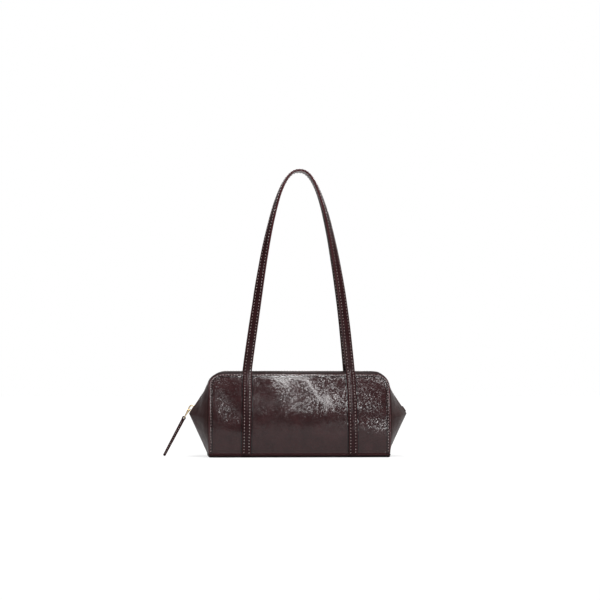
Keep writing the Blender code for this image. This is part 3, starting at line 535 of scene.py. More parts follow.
def crinkled_grain():
    """Grain of glazed crinkled leather, on flat millimetres: pebbles parted by fine creases and drawn out of
    shape by noise. Each is a parabola across, leans its own way by up to the slope given as Lean, and bears
    a finer grain. Height is in millimetres, Crease is 1 in the creases."""
    group, given, result = shader_group(
        "crinkled_grain",
        {"Place": (0.0, 0.0, 0.0), "Pebble": 2.0, "Depth": 0.05, "Lean": 0.1},
        {"Height": "NodeSocketFloat", "Crease": "NodeSocketFloat"},
    )
    middle = (0.5, 0.5, 0.5)
    pull = noise_at(group, given["Place"], 0.5, 1.0, "Color")
    away = vector_node(group, "SCALE", vector_node(group, "SUBTRACT", pull, middle), 0.35)
    place = vector_node(group, "ADD", given["Place"], away)
    cells = {"Vector": place, "Scale": math_node(group, "DIVIDE", 1.0, given["Pebble"])}
    pebble = add_node(group, "ShaderNodeTexVoronoi", cells, voronoi_dimensions="2D").outputs
    cells = add_node(
        group, "ShaderNodeTexVoronoi", cells, voronoi_dimensions="2D", feature="DISTANCE_TO_EDGE"
    ).outputs["Distance"]
    crease = map_range(group, cells, 0.0, 0.16, 1.0, 0.0, smooth=True)
    up = math_node(group, "MULTIPLY", cells, 2.0, clamp=True)
    dome = math_node(group, "MULTIPLY", up, math_node(group, "SUBTRACT", 2.0, up))
    rise = math_node(group, "MULTIPLY_ADD", noise_at(group, given["Place"], 1.2), 0.15, dome)
    rise = math_node(group, "MULTIPLY_ADD", noise_at(group, given["Place"], 0.22), 0.3, rise)
    rise = math_node(group, "MULTIPLY", rise, given["Depth"])
    way = vector_node(group, "SUBTRACT", pebble["Color"], middle)
    off = vector_node(group, "SUBTRACT", place, pebble["Position"])
    off = vector_node(group, "MULTIPLY", off, (2.0, 2.0, 0.0))
    lean = vector_node(group, "DOT_PRODUCT", way, off)
    group.links.new(math_node(group, "MULTIPLY_ADD", lean, given["Lean"], rise), result["Height"])
    group.links.new(crease, result["Crease"])
    return group


def mottled_colour():
    """Dye that has taken unevenly: two shades in slow patches and small flecks, darker in its creases, and
    rubbed lighter along worn edges. The same lighter colour is a painted highlight along the base's lip, and
    painted shade turns the colour nearly black in the hollows beside seams."""
    group, given, result = shader_group(
        "mottled_colour",
        {
            "Place": (0.0, 0.0, 0.0),
            "Deep": (0.02, 0.01, 0.01, 1.0),
            "Warm": (0.04, 0.02, 0.02, 1.0),
            "WearAndHighlight": (0.10, 0.04, 0.04, 1.0),
            "Crease": 0.0,
            "Edge": 0.0,
            "Seam": 0.0,
        },
        {"Colour": "NodeSocketColor"},
    )
    patches = noise_at(group, given["Place"], 0.06, 3.0)
    flecks = noise_at(group, given["Place"], 0.7)
    spot = math_node(group, "MULTIPLY_ADD", flecks, 0.5, math_node(group, "MULTIPLY", patches, 1.2))
    spot = map_range(group, spot, 0.55, 1.15, 0.0, 1.0)
    colour = mixed(group, spot, given["Deep"], given["Warm"])
    colour = mixed(group, math_node(group, "MULTIPLY", given["Crease"], 0.85), colour, given["Deep"])
    rubbed = math_node(group, "MULTIPLY", given["Edge"], math_node(group, "ADD", flecks, 0.35), clamp=True)
    colour = mixed(group, rubbed, colour, given["WearAndHighlight"])
    # Painted shade: where its mask is full, the colour goes nearly to black.
    group.links.new(mixed(group, given["Seam"], colour, (0.002, 0.001, 0.001, 1.0)), result["Colour"])
    return group


GRAIN, MOTTLE = crinkled_grain(), mottled_colour()


def flat_millimetres(tree):
    """The place on the flat leather in millimetres, from the piece's own pattern."""
    flat = add_node(tree, "ShaderNodeUVMap", uv_map="pattern").outputs[0]
    return vector_node(tree, "SCALE", flat, 1000.0)


def new_finish(name, roughness, **sockets):
    """A material with a Principled shader whose plain values are set on its own sockets."""
    material = bpy.data.materials.new(name)
    material.use_nodes = True
    tree = material.node_tree
    shader = tree.nodes["Principled BSDF"]
    shader.inputs["Roughness"].default_value = roughness
    for key, value in sockets.items():
        shader.inputs[key.replace("_", " ")].default_value = value
    return material, tree, shader


def raised(tree, shader, height):
    """Feeds a height in millimetres to the shader's normal."""
    bump = add_node(tree, "ShaderNodeBump", {"Height": height, "Distance": MM, "Strength": 1.0})
    tree.links.new(bump.outputs[0], shader.inputs["Normal"])


def coloured(tree, shader, factor, first, second):
    """Feeds a shade between two colours to the shader."""
    tree.links.new(mixed(tree, factor, (*first, 1.0), (*second, 1.0)), shader.inputs["Base Color"])


def leather_finish(name, deep, warm, worn, pebble, depth, lean, roughness, spread, **sockets):
    """Glazed leather: mottled dark dye, crinkled grain, a gloss that varies from place to place. Where the
    seam mask paints shade in the hollows beside seams, its top coat is taken away as well."""
    material, tree, shader = new_finish(name, roughness, **sockets)
    place = flat_millimetres(tree)
    edge = add_node(tree, "ShaderNodeAttribute", attribute_name="edge").outputs["Fac"]
    # The seam attribute is a mask of painted shade.
    seam = add_node(tree, "ShaderNodeAttribute", attribute_name="seam").outputs["Fac"]
    form = {"Place": place, "Pebble": pebble, "Depth": depth, "Lean": lean}
    grain = add_node(tree, "ShaderNodeGroup", form, node_tree=GRAIN).outputs
    dye = {"Place": place, "Deep": (*deep, 1.0), "Warm": (*warm, 1.0), "WearAndHighlight": (*worn, 1.0)}
    dye.update({"Crease": grain["Crease"], "Edge": edge, "Seam": seam})
    colour = add_node(tree, "ShaderNodeGroup", dye, node_tree=MOTTLE).outputs[0]
    tree.links.new(colour, shader.inputs["Base Color"])
    patches = noise_at(tree, place, 0.15, 3.0)
    gloss = map_range(tree, patches, 0.3, 0.7, roughness - spread, roughness + spread)
    gloss = math_node(tree, "MULTIPLY_ADD", grain["Crease"], 0.12, gloss)
    bare = math_node(tree, "SUBTRACT", 1.0, seam)
    coat = math_node(tree, "MULTIPLY", bare, sockets.get("Coat_Weight", 0.0))
    tree.links.new(coat, shader.inputs["Coat Weight"])
    tree.links.new(gloss, shader.inputs["Roughness"])
    raised(tree, shader, grain["Height"])
    return material


PANEL_LEATHER = leather_finish(
    "crinkled_leather", (0.0195, 0.0058, 0.0062), (0.0340, 0.0110, 0.0116), (0.110, 0.034, 0.038),
    pebble=1.9, depth=0.016, lean=0.050, roughness=0.15, spread=0.03,
    Specular_IOR_Level=0.27, Coat_Weight=0.12, Coat_Roughness=0.08,
)


def thread_finish():
    """Waxed sewing thread: two strands laid round each other under a shiny film of wax."""
    wax = {"Specular_IOR_Level": 0.8, "Coat_Weight": 0.7, "Coat_Roughness": 0.14}
    material, tree, shader = new_finish("waxed_thread", 0.26, **wax)
    lay = {"Vector": flat_millimetres(tree), "Scale": 0.55, "Distortion": 0.4, "Detail": 1.0}
    twist = add_node(tree, "ShaderNodeTexWave", lay, bands_direction="DIAGONAL").outputs["Fac"]
    # Both colours are far lighter than the thread's own dark red: partly painted highlight, for the glints that the     waxed thread catches.
    coloured(tree, shader, twist, (0.18, 0.115, 0.11), (0.38, 0.285, 0.275))
    raised(tree, shader, math_node(tree, "MULTIPLY", twist, 0.05))
    return material


THREAD = thread_finish()


def add_stitches(name, line, normal, pitch=STITCH_PITCH, length=1.9 * MM, width=1.2 * MM, lean=0.16):
    """Stitches along a line: at even distances, a short thread that arches over the surface, dips in at
    both ends and lies a little across the line. Each is a row of rings whose radius falls to nothing at
    its ends by the root of 1 - s squared."""
    run = run_along(line)
    count = int((run[-1] - length) / pitch) + 1
    middles = (run[-1] - (count - 1) * pitch) / 2 + pitch * np.arange(count)
    s = np.array([-1.0, -0.86, -0.45, 0.0, 0.45, 0.86, 1.0])
    centre, up = read_at(middles, run, line), read_at(middles, run, normal)
    ahead = unit(read_at(middles + 0.3 * MM, run, line) - read_at(middles - 0.3 * MM, run, line))
    up = unit(up - ahead * (up * ahead).sum(1, keepdims=True))
    ahead = ahead * math.cos(lean) + np.cross(ahead, up) * math.sin(lean)
    beside = np.cross(ahead, up)
    rise = width * (0.08 - 0.45 * s**2)
    spine = centre[:, None] + ahead[:, None] * (s * length / 2)[:, None] + up[:, None] * rise[:, None]
    radius = width / 2 * np.sqrt(np.clip(1 - s**2, 0, 1))
    turn = 2 * math.pi * np.arange(STITCH_SIDES) / STITCH_SIDES
    ring = np.cos(turn)[:, None] * beside[:, None] + np.sin(turn)[:, None] * up[:, None]
    points = spine[:, :, None] + radius[:, None, None] * ring[:, None]
    one = grid_quads(len(s), STITCH_SIDES, closed=True)
    quads = (one + (len(s) * STITCH_SIDES * np.arange(count))[:, None, None]).reshape(-1, 4)
    flat = np.stack(np.broadcast_arrays(s[:, None] * length / 2, turn * width / 2), -1).reshape(-1, 2)
    return add_piece(name, points.reshape(-1, 3), quads, THREAD, np.tile(flat, (count, 1)))


def pattern_outline(inset, inset_on_top):
    """X and share of a line that keeps one distance from a panel's sides and another from its top, joined
    by a quarter of an ellipse at each corner: up one side and down the other."""
    radius, rise = PANEL_CORNER_RADIUS - inset, PANEL_CORNER_RADIUS - inset_on_top
    turn = np.linspace(0, math.pi / 2, 24)
    corner_x = PANEL_LENGTH / 2 - PANEL_CORNER_RADIUS
    corner_up = SECTION_LENGTH - PANEL_CORNER_RADIUS
    side_up = np.linspace(1.5 * MM, corner_up, 60)[:-1]
    top_x = np.linspace(corner_x, -corner_x, 120)[1:-1]
    x = np.concatenate([np.full(len(side_up), PANEL_LENGTH / 2 - inset), corner_x + radius * np.cos(turn)])
    up = np.concatenate([side_up, corner_up + rise * np.sin(turn)])
    top_up = np.full(len(top_x), SECTION_LENGTH - inset_on_top)
    return np.concatenate([x, top_x, -x[::-1]]), np.concatenate([up, top_up, up[::-1]]) / SECTION_LENGTH


for word, side in SIDES:
    x, share = panel_grid()
    relief = panel_relief(side, x, share)
    outer = panel_surface(side, x, share) + relief[..., None] * panel_normal(side, x, share)
    inner = panel_surface(side, x * (1 - LEATHER / (PANEL_LENGTH / 2)), share, LEATHER)
    worn = np.clip(1 - edge_distance(x, share) / WORN_EDGE, 0, 1)
    # The seam mask is painted shade in the hollows by the panel's edges and beside the straps' legs.
    masks = {"edge": worn, "seam": painted_hollow_shade(x, share)}
    panel = add_sheet(f"{word}_panel_leather", outer, inner, PANEL_LEATHER, masks=masks)
    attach(panel, "shell")
    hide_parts(f"{word}_panel")
    x, share = pattern_outline(STITCH_INSET, STITCH_INSET_ON_TOP)
    normal = panel_normal(side, x, share)
    line = panel_surface(side, x, share) + panel_relief(side, x, share)[:, None] * normal
    stitches = add_stitches(f"{word}_panel_stitches", line, normal)
    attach(stitches, "shell")


# The base: a shallow tray of the same leather under the bag, pointed a little at both ends, its dye made much
# # darker as painted shade. Its rim is turned up round a stiff board and stands out as a thin lip below the
# seam
# # with the panels, along which a painted highlight runs.

BASE_EDGE_RADIUS = 4 * MM
FOOT_REACH = 1.5 * MM
BASE_CORNER_ROUND = 5 * MM
LIP_SWELL = 0.55 * MM
# The strength of the painted highlight along the lip.
LIP_HIGHLIGHT = 0.9


def base_outline(count=480):
    """The tray seen from above: straight runs through its six corners, each point then evened out over
    a few millimetres of its neighbours. With it come the outward directions."""
    x, y = PANEL_LENGTH / 2, BODY_DEPTH / 2 * SECTION_DEPTH_SHARES[0]
    tip = x + FOOT_REACH
    corners = np.array([(x, -y), (tip, 0), (x, y), (-x, y), (-tip, 0), (-x, -y), (x, -y)])
    run = run_along(corners)
    plain = read_at(np.linspace(0, run[-1], count, endpoint=False), run, corners)
    reach = int(BASE_CORNER_ROUND / (run[-1] / count))
    outline = np.mean([np.roll(plain, k, axis=0) for k in range(-reach, reach + 1)], axis=0)
    ahead = unit(np.roll(outline, -1, axis=0) - np.roll(outline, 1, axis=0))
    return outline, np.column_stack([ahead[:, 1], -ahead[:, 0]])


OUTLINE, OUTWARD = base_outline()


def tray_ring(height, inset=0.0, share=1.0):
    """The tray's outline at a height, drawn in by an inset or shrunk to a share of its size."""
    return np.column_stack([OUTLINE * share - inset * OUTWARD, np.full(len(OUTLINE), height)])


def base_tray():
    """Rings round the tray: down the outside over the lip and round the lower edge, across the underside,
    and back up the inside one thickness away."""
    rim, low = BASE_RIM_HEIGHT - GAP / 2, BASE_EDGE_RADIUS * 0.55
    top = rim - 0.35 * MM
    turn = np.linspace(0, math.pi / 2, 9)
    side = np.linspace(0, 1, 9)[1:-1]
    swell = LIP_SWELL * np.sin(math.pi * np.clip(side / 0.62, 0, 1))
    round_in, round_up = low * (1 - np.cos(turn)), low * (1 - np.sin(turn))
    rings = [tray_ring(rim, LEATHER), tray_ring(rim + 0.02 * MM, 0.35 * LEATHER), tray_ring(top)]
    rings += [tray_ring(top - (top - low) * s, -out) for s, out in zip(side, swell)]
    rings += [tray_ring(height, inset) for inset, height in zip(round_in, round_up)]
    rings += [tray_ring(0.0, share=share) for share in (0.9, 0.5, 0.0)]
    rings += [tray_ring(LEATHER, share=share) for share in (0.0, 0.5, 0.9)]
    rings += [tray_ring(LEATHER + up, LEATHER + inset) for inset, up in zip(round_in[::-1], round_up[::-1])]
    return np.array(rings + rings[:1])


def add_rings(name, rings, material, masks=None):
    """A surface through rings of points of shape (rings, points, 3), each ring closed on itself."""
    rows, columns = rings.shape[:2]
    wrapped = np.concatenate([rings, rings[:, :1]], axis=1)
    around = np.cumsum(np.linalg.norm(np.diff(wrapped, axis=1, prepend=wrapped[:, :1]), axis=2), axis=1)
    along = np.linalg.norm(np.diff(wrapped, axis=0, prepend=wrapped[:1]), axis=2).max(1).cumsum()
    flat = np.stack(np.broadcast_arrays(around, along[:, None]), -1).reshape(-1, 2)
    quads, flat_quads = grid_quads(rows, columns, closed=True), grid_quads(rows, columns + 1)
    return add_piece(name, rings.reshape(-1, 3), quads, material, flat, flat_quads, masks)


# Deep and warm are far darker than the panels' dye: painted shade under the bag. The third colour is a
# painted highlight along the lip.
BASE_LEATHER_IN_PAINTED_SHADE = leather_finish(
    "base_leather", (0.005, 0.0022, 0.0024), (0.010, 0.0042, 0.0044), (0.085, 0.030, 0.033),
    pebble=1.9, depth=0.05, lean=0.06, roughness=0.42, spread=0.06,
    Specular_IOR_Level=0.06, Coat_Weight=0.02, Coat_Roughness=0.2,
)
tray = base_tray()
# A painted highlight: a line along the lip, given the base's third, lighter colour through the edge mask.
lip = np.clip(1 - np.abs(tray[..., 2] - (BASE_RIM_HEIGHT - 0.9 * MM)) / (1.0 * MM), 0, 1)
base = add_rings("base_leather", tray, BASE_LEATHER_IN_PAINTED_SHADE, {"edge": LIP_HIGHLIGHT * lip.ravel()})
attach(base, "shell")
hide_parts("base_panel")


# The gusset: a strip of leather that climbs each end in two halves, meets in a sunken seam under the
# pointed tip, and folds over the ridge to a turned and stitched edge on either side of the zip.
# Each quarter of it is one piece, from the foot of an end to the middle of the mouth.

TIP_TO_TIP = 280 * MM
TIP_HEIGHT = 55 * MM
TIP_INSET_SHARE = 1.15
RIDGE_SLOPE = math.radians(55.5)
RIDGE_CORNER_RADIUS = 22 * MM
CHANNEL_WIDTH = 10 * MM
GUSSET_BULGE = 2.6 * MM
MOUTH_FULLNESS = 0.5
NOSE_LIP = 3.4 * MM
NOSE_FLOOR = 1.7 * MM
NOSE_VALLEY = 4.4 * MM
NOSE_DROP = 2.7 * MM
NOSE_COLUMNS = 12
UNDERSIDE_BULGE = 2 * MM
ZIP_STITCH_INSET = 2.2 * MM
ZIP_STITCH_START = {-1: 1.22, 1: 1.26}
ENDS = (("left", -1), ("right", 1))
QUARTERS = [(end_word, end, side_word, side) for end_word, end in ENDS for side_word, side in SIDES]


def ridge_marks(depth):
    """The ridge's foot, its tip, the two ends of its round corner and that corner's centre, in X and Z."""
    radius = RIDGE_CORNER_RADIUS - depth
    tip = np.array([TIP_TO_TIP / 2 - TIP_INSET_SHARE * depth, TIP_HEIGHT])
    foot = np.array([PANEL_LENGTH / 2 - depth + FOOT_REACH, BASE_RIM_HEIGHT])
    top = BODY_HEIGHT - depth
    corner = np.array([tip[0] - (top - TIP_HEIGHT) / math.tan(RIDGE_SLOPE), top])
    tangent = radius * math.tan(RIDGE_SLOPE / 2)
    low_end = corner + tangent * np.array([math.cos(RIDGE_SLOPE), -math.sin(RIDGE_SLOPE)])
    high_end = corner - np.array([tangent, 0.0])
    return foot, tip, low_end, high_end, high_end - np.array([0.0, radius])


MOUTH_HALF_LENGTH = float(ridge_marks(0)[3][0])


def ridge_line(t, depth=0.0):
    """X and Z of the ridge at places along it: 0 to 1 straight from the foot to the tip, 1 to 2 straight up
    the slope, 2 to 3 round a circle's arc, 3 to 4 level to the middle of the bag."""
    foot, tip, low_end, high_end, centre = ridge_marks(depth)
    t = np.asarray(t, float)[:, None]
    turn = math.pi / 2 - RIDGE_SLOPE + (t[:, 0] - 2) * RIDGE_SLOPE
    arc = centre + (RIDGE_CORNER_RADIUS - depth) * np.stack([np.cos(turn), np.sin(turn)], -1)
    rising = np.where(t < 1, foot + (tip - foot) * t, tip + (low_end - tip) * (t - 1))
    level = np.array([MOUTH_HALF_LENGTH, high_end[1]]) * np.concatenate([4 - t, np.ones_like(t)], 1)
    return np.where(t < 2, rising, np.where(t < 3, arc, level))


def seam_line(side, t, depth=0.0):
    """The edge of the panel at the same places: up its side, round its corner, and along its top."""
    t = np.asarray(t, float)
    length = section_length(depth)
    radius = PANEL_CORNER_RADIUS - depth
    start = 1 - radius / length
    tip_share = start * TIP_HEIGHT / BODY_HEIGHT
    corner_x = PANEL_LENGTH / 2 - depth - radius
    quarter = radius * math.pi / 2
    run = np.clip(t - 2, 0, 1) * (quarter + corner_x - MOUTH_HALF_LENGTH)
    turn = np.clip(run / radius, 0, math.pi / 2)
    x = corner_x + radius * np.cos(turn) - np.clip(run - quarter, 0, None)
    x = np.where(t > 3, MOUTH_HALF_LENGTH * (4 - t), x)
    rising = np.where(t < 1, tip_share * t, tip_share + (start - tip_share) * (t - 1))
    share = np.where(t < 2, rising, start + (1 - start) * np.sin(turn))
    return panel_surface(side, x, np.clip(share, 0, 1), depth)


def widening(t, start, end):
    """A distance that grows evenly from the foot to the tip and stays level above it."""
    return start + (end - start) * np.clip(t, 0, 1)


def beside_ridge(side, t, depth, offset):
    """The line that runs level with the ridge, a distance to one side of it."""
    xz = ridge_line(t, depth)
    return np.stack([xz[:, 0], np.broadcast_to(side * offset, len(xz)), xz[:, 1]], -1)


def gusset_columns(length, near, far, count):
    """Shares between the two rims of a gusset: at set distances from each, and even in between."""
    low, high = near / length[:, None], 1 - far[::-1] / length[:, None]
    even = np.linspace(0, 1, count)[None]
    return np.concatenate([low[:, :-1], low[:, -1:] + (high[:, :1] - low[:, -1:]) * even, high[:, 1:]], 1)


def gusset_surface(side, t, near, far, count, depth=0.0, bulge=GUSSET_BULGE):
    """Straight lines from the panel's seam to the zip's channel, raised between by the parabola
    4 s (1 - s) along their normal. Also given: the normals, and the distances from the two rims."""
    seam, rim = seam_line(side, t, depth), beside_ridge(side, t, depth, widening(t, GAP, CHANNEL_WIDTH / 2))
    length = np.linalg.norm(rim - seam, axis=1)
    shares = gusset_columns(length, near, far, count)
    middle = (seam + rim) / 2
    square = unit(np.cross(np.gradient(middle, axis=0), rim - seam))
    square *= np.sign((square * (middle - [0.0, 0.0, TIP_HEIGHT])).sum(1, keepdims=True))
    fullness = np.clip(t, 0, 1) * (1 - (1 - MOUTH_FULLNESS) * np.clip(t - 2, 0, 1))
    rise = (bulge * fullness)[:, None] * 4 * shares * (1 - shares)
    grid = seam[:, None] + (rim - seam)[:, None] * shares[..., None] + rise[..., None] * square[:, None]
    normal = unit(np.cross(np.gradient(grid, axis=0), np.gradient(grid, axis=1)))
    normal *= np.sign((normal * square[:, None]).sum(2, keepdims=True))
    return grid, normal, shares * length[:, None], (1 - shares) * length[:, None]


def nose_surface(side, t, depth=0.0):
    """Across the nose under the tip: level with the ridge at first, then down a smooth step into the valley
    between the two halves, whose depth grows with the square of the place."""
    q = np.linspace(0, 1, NOSE_COLUMNS + 1)[1:]
    edge, seam = widening(t, GAP, CHANNEL_WIDTH / 2)[:, None], GAP / 2
    out = edge + (seam - edge) * q
    lip, floor = widening(t, 1.5 * GAP, NOSE_LIP)[:, None], widening(t, GAP, NOSE_FLOOR)[:, None]
    down = eased((lip - out) / (lip - floor))
    xz = ridge_line(t, depth)
    valley = np.clip(t, 0, 1)[:, None] ** 2 * down
    return np.stack([xz[:, :1] - NOSE_VALLEY * valley, side * out, xz[:, 1:] - NOSE_DROP * valley], -1)


def gusset_places(foot_steps, slope_steps, corner_steps, mouth_steps):
    """Places along the ridge, with the foot set back from the base and a narrow step at the tip."""
    t = [np.linspace(0.004, 0.994, foot_steps), np.linspace(1, 2, slope_steps)[:-1]]
    t += [np.linspace(2, 3, corner_steps)[:-1], np.linspace(3, 4, mouth_steps)]
    return np.concatenate(t)


def gusset_grid(side, t, near, far, count, depth=0.0, bulge=GUSSET_BULGE):
    """The whole of a quarter: its surface and the nose beside it, which only the part below the tip keeps."""
    grid, normal, from_seam, from_rim = gusset_surface(side, t, near, far, count, depth, bulge)
    return np.concatenate([grid, nose_surface(side, t, depth)], axis=1), normal, from_seam, from_rim


def kept_cells(t, columns, above_tip):
    """Which cells of a quarter stay: all of them below the tip, and only the first ones above it."""
    kept = np.ones((len(t) - 1, columns - 1), bool)
    kept[t[1:] >= 1, above_tip:] = False
    return kept


def creases(across, along, length, seed):
    """0 on smooth leather and towards -1 in narrow creases: they lie where one slow wave passes
    through zero, and only in the places where a second one is high."""
    line = bell(waves(across, along, length, seed), 0.16)
    return -line * np.clip(waves(across, along, 2.5 * length, seed + 1) + 0.25, 0, 1)


def gusset_relief(side, end, t, from_seam, from_rim):
    """Down into the seam beside the panel's folded edge, up over the turned edge by the zip, and slow waves,
    soft pulls towards the tip and fine pebbling in between."""
    above = np.clip((t - 0.97) / 0.06, 0, 1)[:, None]
    tucked = -0.95 * MM * bell(from_seam, 1.7 * MM)
    turned = above * folded_edge(from_rim, 0.30 * MM, 1.1 * MM, 0.9 * MM, ZIP_STITCH_INSET)
    inner = np.clip(from_seam / (10 * MM), 0, 1) * np.clip(from_rim / (10 * MM), 0, 1)
    seed = 100 + 10 * side + end
    place = t[:, None] * 50 * MM, from_seam
    slack = 0.55 * MM * waves(*place, 45 * MM, seed) + 0.12 * MM * waves(*place, 17 * MM, seed + 50)
    fine = 0.07 * MM * creases(*place, 12 * MM, seed + 100) + 0.02 * MM * waves(*place, 4.5 * MM, seed + 150)
    return tucked + turned + inner * slack + np.clip(from_seam / (4 * MM), 0, 1) * fine


def blended(piece, end, side_word, *node_words):
    """Bakes the piece's placing into its mesh and hides the solids it stands for, named by the node words."""
    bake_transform(piece)
    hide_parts(*node_words)


GUSSET_LEATHER = leather_finish(
    "gusset_leather", (0.025, 0.0100, 0.0096), (0.042, 0.0180, 0.0168), (0.100, 0.033, 0.036),
    pebble=2.1, depth=0.030, lean=0.02, roughness=0.42, spread=0.05, Specular_IOR_Level=0.09,
)
places = gusset_places(34, 44, 22, 62)
for end_word, end, side_word, side in QUARTERS:
    mirror = np.array([end, 1.0, 1.0])
    columns = side, places, EDGE_PLACES + GAP / 2, EDGE_PLACES, 24
    grid, normal, from_seam, from_rim = gusset_grid(*columns)
    under = gusset_grid(*columns, LEATHER, UNDERSIDE_BULGE)[0]
    count = from_seam.shape[1]
    grid[:, :count] += gusset_relief(side, end, places, from_seam, from_rim)[..., None] * normal
    worn, sunk = np.zeros(grid.shape[:2]), np.zeros(grid.shape[:2])
    worn[:, :count] = (places[:, None] > 1) * np.clip(1 - from_rim / (1.0 * MM), 0, 1)
    # Painted shade through the seam mask: dark in the hollow along the panel's seam and, at 0.45, over the top,     fading in round the corner above the tip and full over the mouth.
    over_mouth = np.clip(places - 2.0, 0, 1)[:, None]
    sunk[:, :count] = np.maximum(0.85 * bell(from_seam, 2.0 * MM), 0.45 * over_mouth)
    kept, masks = kept_cells(places, grid.shape[1], count - 1), {"edge": worn, "seam": sunk}
    word = f"{end_word}_{side_word}"
    quarter = add_sheet(f"gusset_{word}", grid * mirror, under * mirror, GUSSET_LEATHER, kept, masks)
    blended(quarter, end, side_word, f"{end_word}_gusset_{side_word}", f"mouth_gusset_{side_word}")
    t = np.linspace(ZIP_STITCH_START[end], 4, 400)
    rims = np.array([0.0, 4 * MM]), np.array([0.0, ZIP_STITCH_INSET])
    line, up, _, _ = gusset_surface(side, t, *rims, 3)
    line, up = line[:, -2], up[:, -2]
    line = (line + 0.02 * MM * up) * mirror
    stitches = add_stitches(f"zip_edge_stitches_{word}", line, up * mirror)
    blended(stitches, end, side_word)


# The lining: thin twill sewn behind every leather piece along its seams, slightly puckered, and a sheet
# of it turned in over the stiff board in the base.

LINING = 0.6 * MM
TAPE_LAP = 6 * MM
INSIDE = LEATHER + GAP
BOARD_THICKNESS = 1.5 * MM
PUCKER = 0.12 * MM
RIB_PITCH, YARN_PITCH = 0.55, 0.28


def twill_finish():
    """Twill: fine yarns crossing, raised in slanting ribs, with a little unevenness in the dye."""
    material, tree, shader = new_finish("lining_twill", 0.78, Sheen_Weight=0.35, Sheen_Roughness=0.4)
    place = flat_millimetres(tree)
    parts = add_node(tree, "ShaderNodeSeparateXYZ", {0: place}).outputs
    slant = math_node(tree, "ADD", parts[0], math_node(tree, "MULTIPLY", parts[1], 0.6))
    rib = math_node(tree, "SINE", math_node(tree, "MULTIPLY", slant, 2 * math.pi / RIB_PITCH))
    yarn = math_node(tree, "SINE", math_node(tree, "MULTIPLY", parts[1], 2 * math.pi / YARN_PITCH))
    weave = math_node(tree, "MULTIPLY_ADD", rib, 0.35, math_node(tree, "MULTIPLY_ADD", yarn, 0.15, 0.5))
    uneven = math_node(tree, "ADD", noise_at(tree, place, 0.2, 4.0), 0.4)
    shade = math_node(tree, "MULTIPLY", weave, uneven)
    coloured(tree, shader, shade, (0.030, 0.016, 0.016), (0.085, 0.052, 0.048))
    raised(tree, shader, math_node(tree, "MULTIPLY", weave, 0.08))
    return material


TWILL = twill_finish()
for word, side in SIDES:
    share = np.linspace(0.003, 0.997, 60)[:, None]
    layers = []
    for depth in (INSIDE, INSIDE + LINING):
        x = np.linspace(-1, 1, 90)[None] * (panel_half_width(share, depth) - GAP / 2)
        inward = -side * np.abs(PUCKER * waves(x, share * SECTION_LENGTH, 30 * MM, 300 + side))
        layers.append(panel_surface(side, x, share, depth) + inward[..., None] * np.array([0.0, 1.0, 0.0]))
    lining = add_sheet(f"{word}_lining_twill", *layers, TWILL)
    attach(lining, "shell")
    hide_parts(f"{word}_lining")

lining_places = gusset_places(16, 20, 12, 24)
near, far = np.array([0.0, 3 * MM]) + GAP, np.array([0.0, TAPE_LAP, TAPE_LAP + GAP])
for end_word, end, side_word, side in QUARTERS:
    mirror = np.array([end, 1.0, 1.0])
    layers = [
        gusset_grid(side, lining_places, near, far, 10, depth, UNDERSIDE_BULGE)[0] * mirror
        for depth in (INSIDE, INSIDE + LINING)
    ]
    columns = layers[0].shape[1]
    kept = kept_cells(lining_places, columns, columns - NOSE_COLUMNS - 3)
    lining = add_sheet(f"gusset_lining_{end_word}_{side_word}", *layers, TWILL, kept)
    blended(lining, end, side_word, f"{end_word}_lining_{side_word}", f"mouth_lining_{side_word}")

low = INSIDE + BOARD_THICKNESS + GAP
rings = [tray_ring(low, share=0.0)]
for angle in np.linspace(0, math.pi, 7):
    inset = INSIDE + LINING / 2 * (1 - math.sin(angle))
    rings.append(tray_ring(low + LINING / 2 * (1 - math.cos(angle)), inset))
rings.append(tray_ring(low + LINING, share=0.0))
base_lining = add_rings("base_lining_twill", np.array(rings), TWILL)
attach(base_lining, "shell")
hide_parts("base_lining")


# The board: stiff grey-brown fibre board, cut to the tray and laid loose between the base leather and
# its lining, which hides it.


def noise_through(tree, features, detail, distortion=0.0):
    """Noise through a piece, with this many features a metre along X, Y and Z."""
    place = add_node(tree, "ShaderNodeTexCoord").outputs["Object"]
    place = add_node(tree, "ShaderNodeMapping", {"Vector": place, "Scale": features}).outputs[0]
    inputs = {"Vector": place, "Scale": 1.0, "Detail": detail, "Distortion": distortion}
    return add_node(tree, "ShaderNodeTexNoise", inputs).outputs["Fac"]


def board_finish():
    """Pressed fibre: short pale and dark fibres in a brown ground."""
    material, tree, shader = new_finish("fibre_board", 0.85)
    fibre = noise_through(tree, (400.0, 1500.0, 1000.0), 4.0, 0.8)
    coloured(tree, shader, fibre, (0.11, 0.085, 0.060), (0.30, 0.24, 0.18))
    raised(tree, shader, math_node(tree, "MULTIPLY", fibre, 0.1))
    return material


def refinish(node, material):
    """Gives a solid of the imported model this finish."""
    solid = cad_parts[node]
    solid.data.materials.clear()
    solid.data.materials.append(material)
    return solid


refinish("base_board", board_finish())


# The zip tapes: woven polyester in a fine herringbone, sewn under the gusset's turned edges and level
# with them in the channel between.

TAPE_EDGE = 2.4 * MM
tape_near = np.linspace(TAPE_LAP, 0, 5)
HERRINGBONE, TAPE_RIB_PITCH = 0.9, 0.5


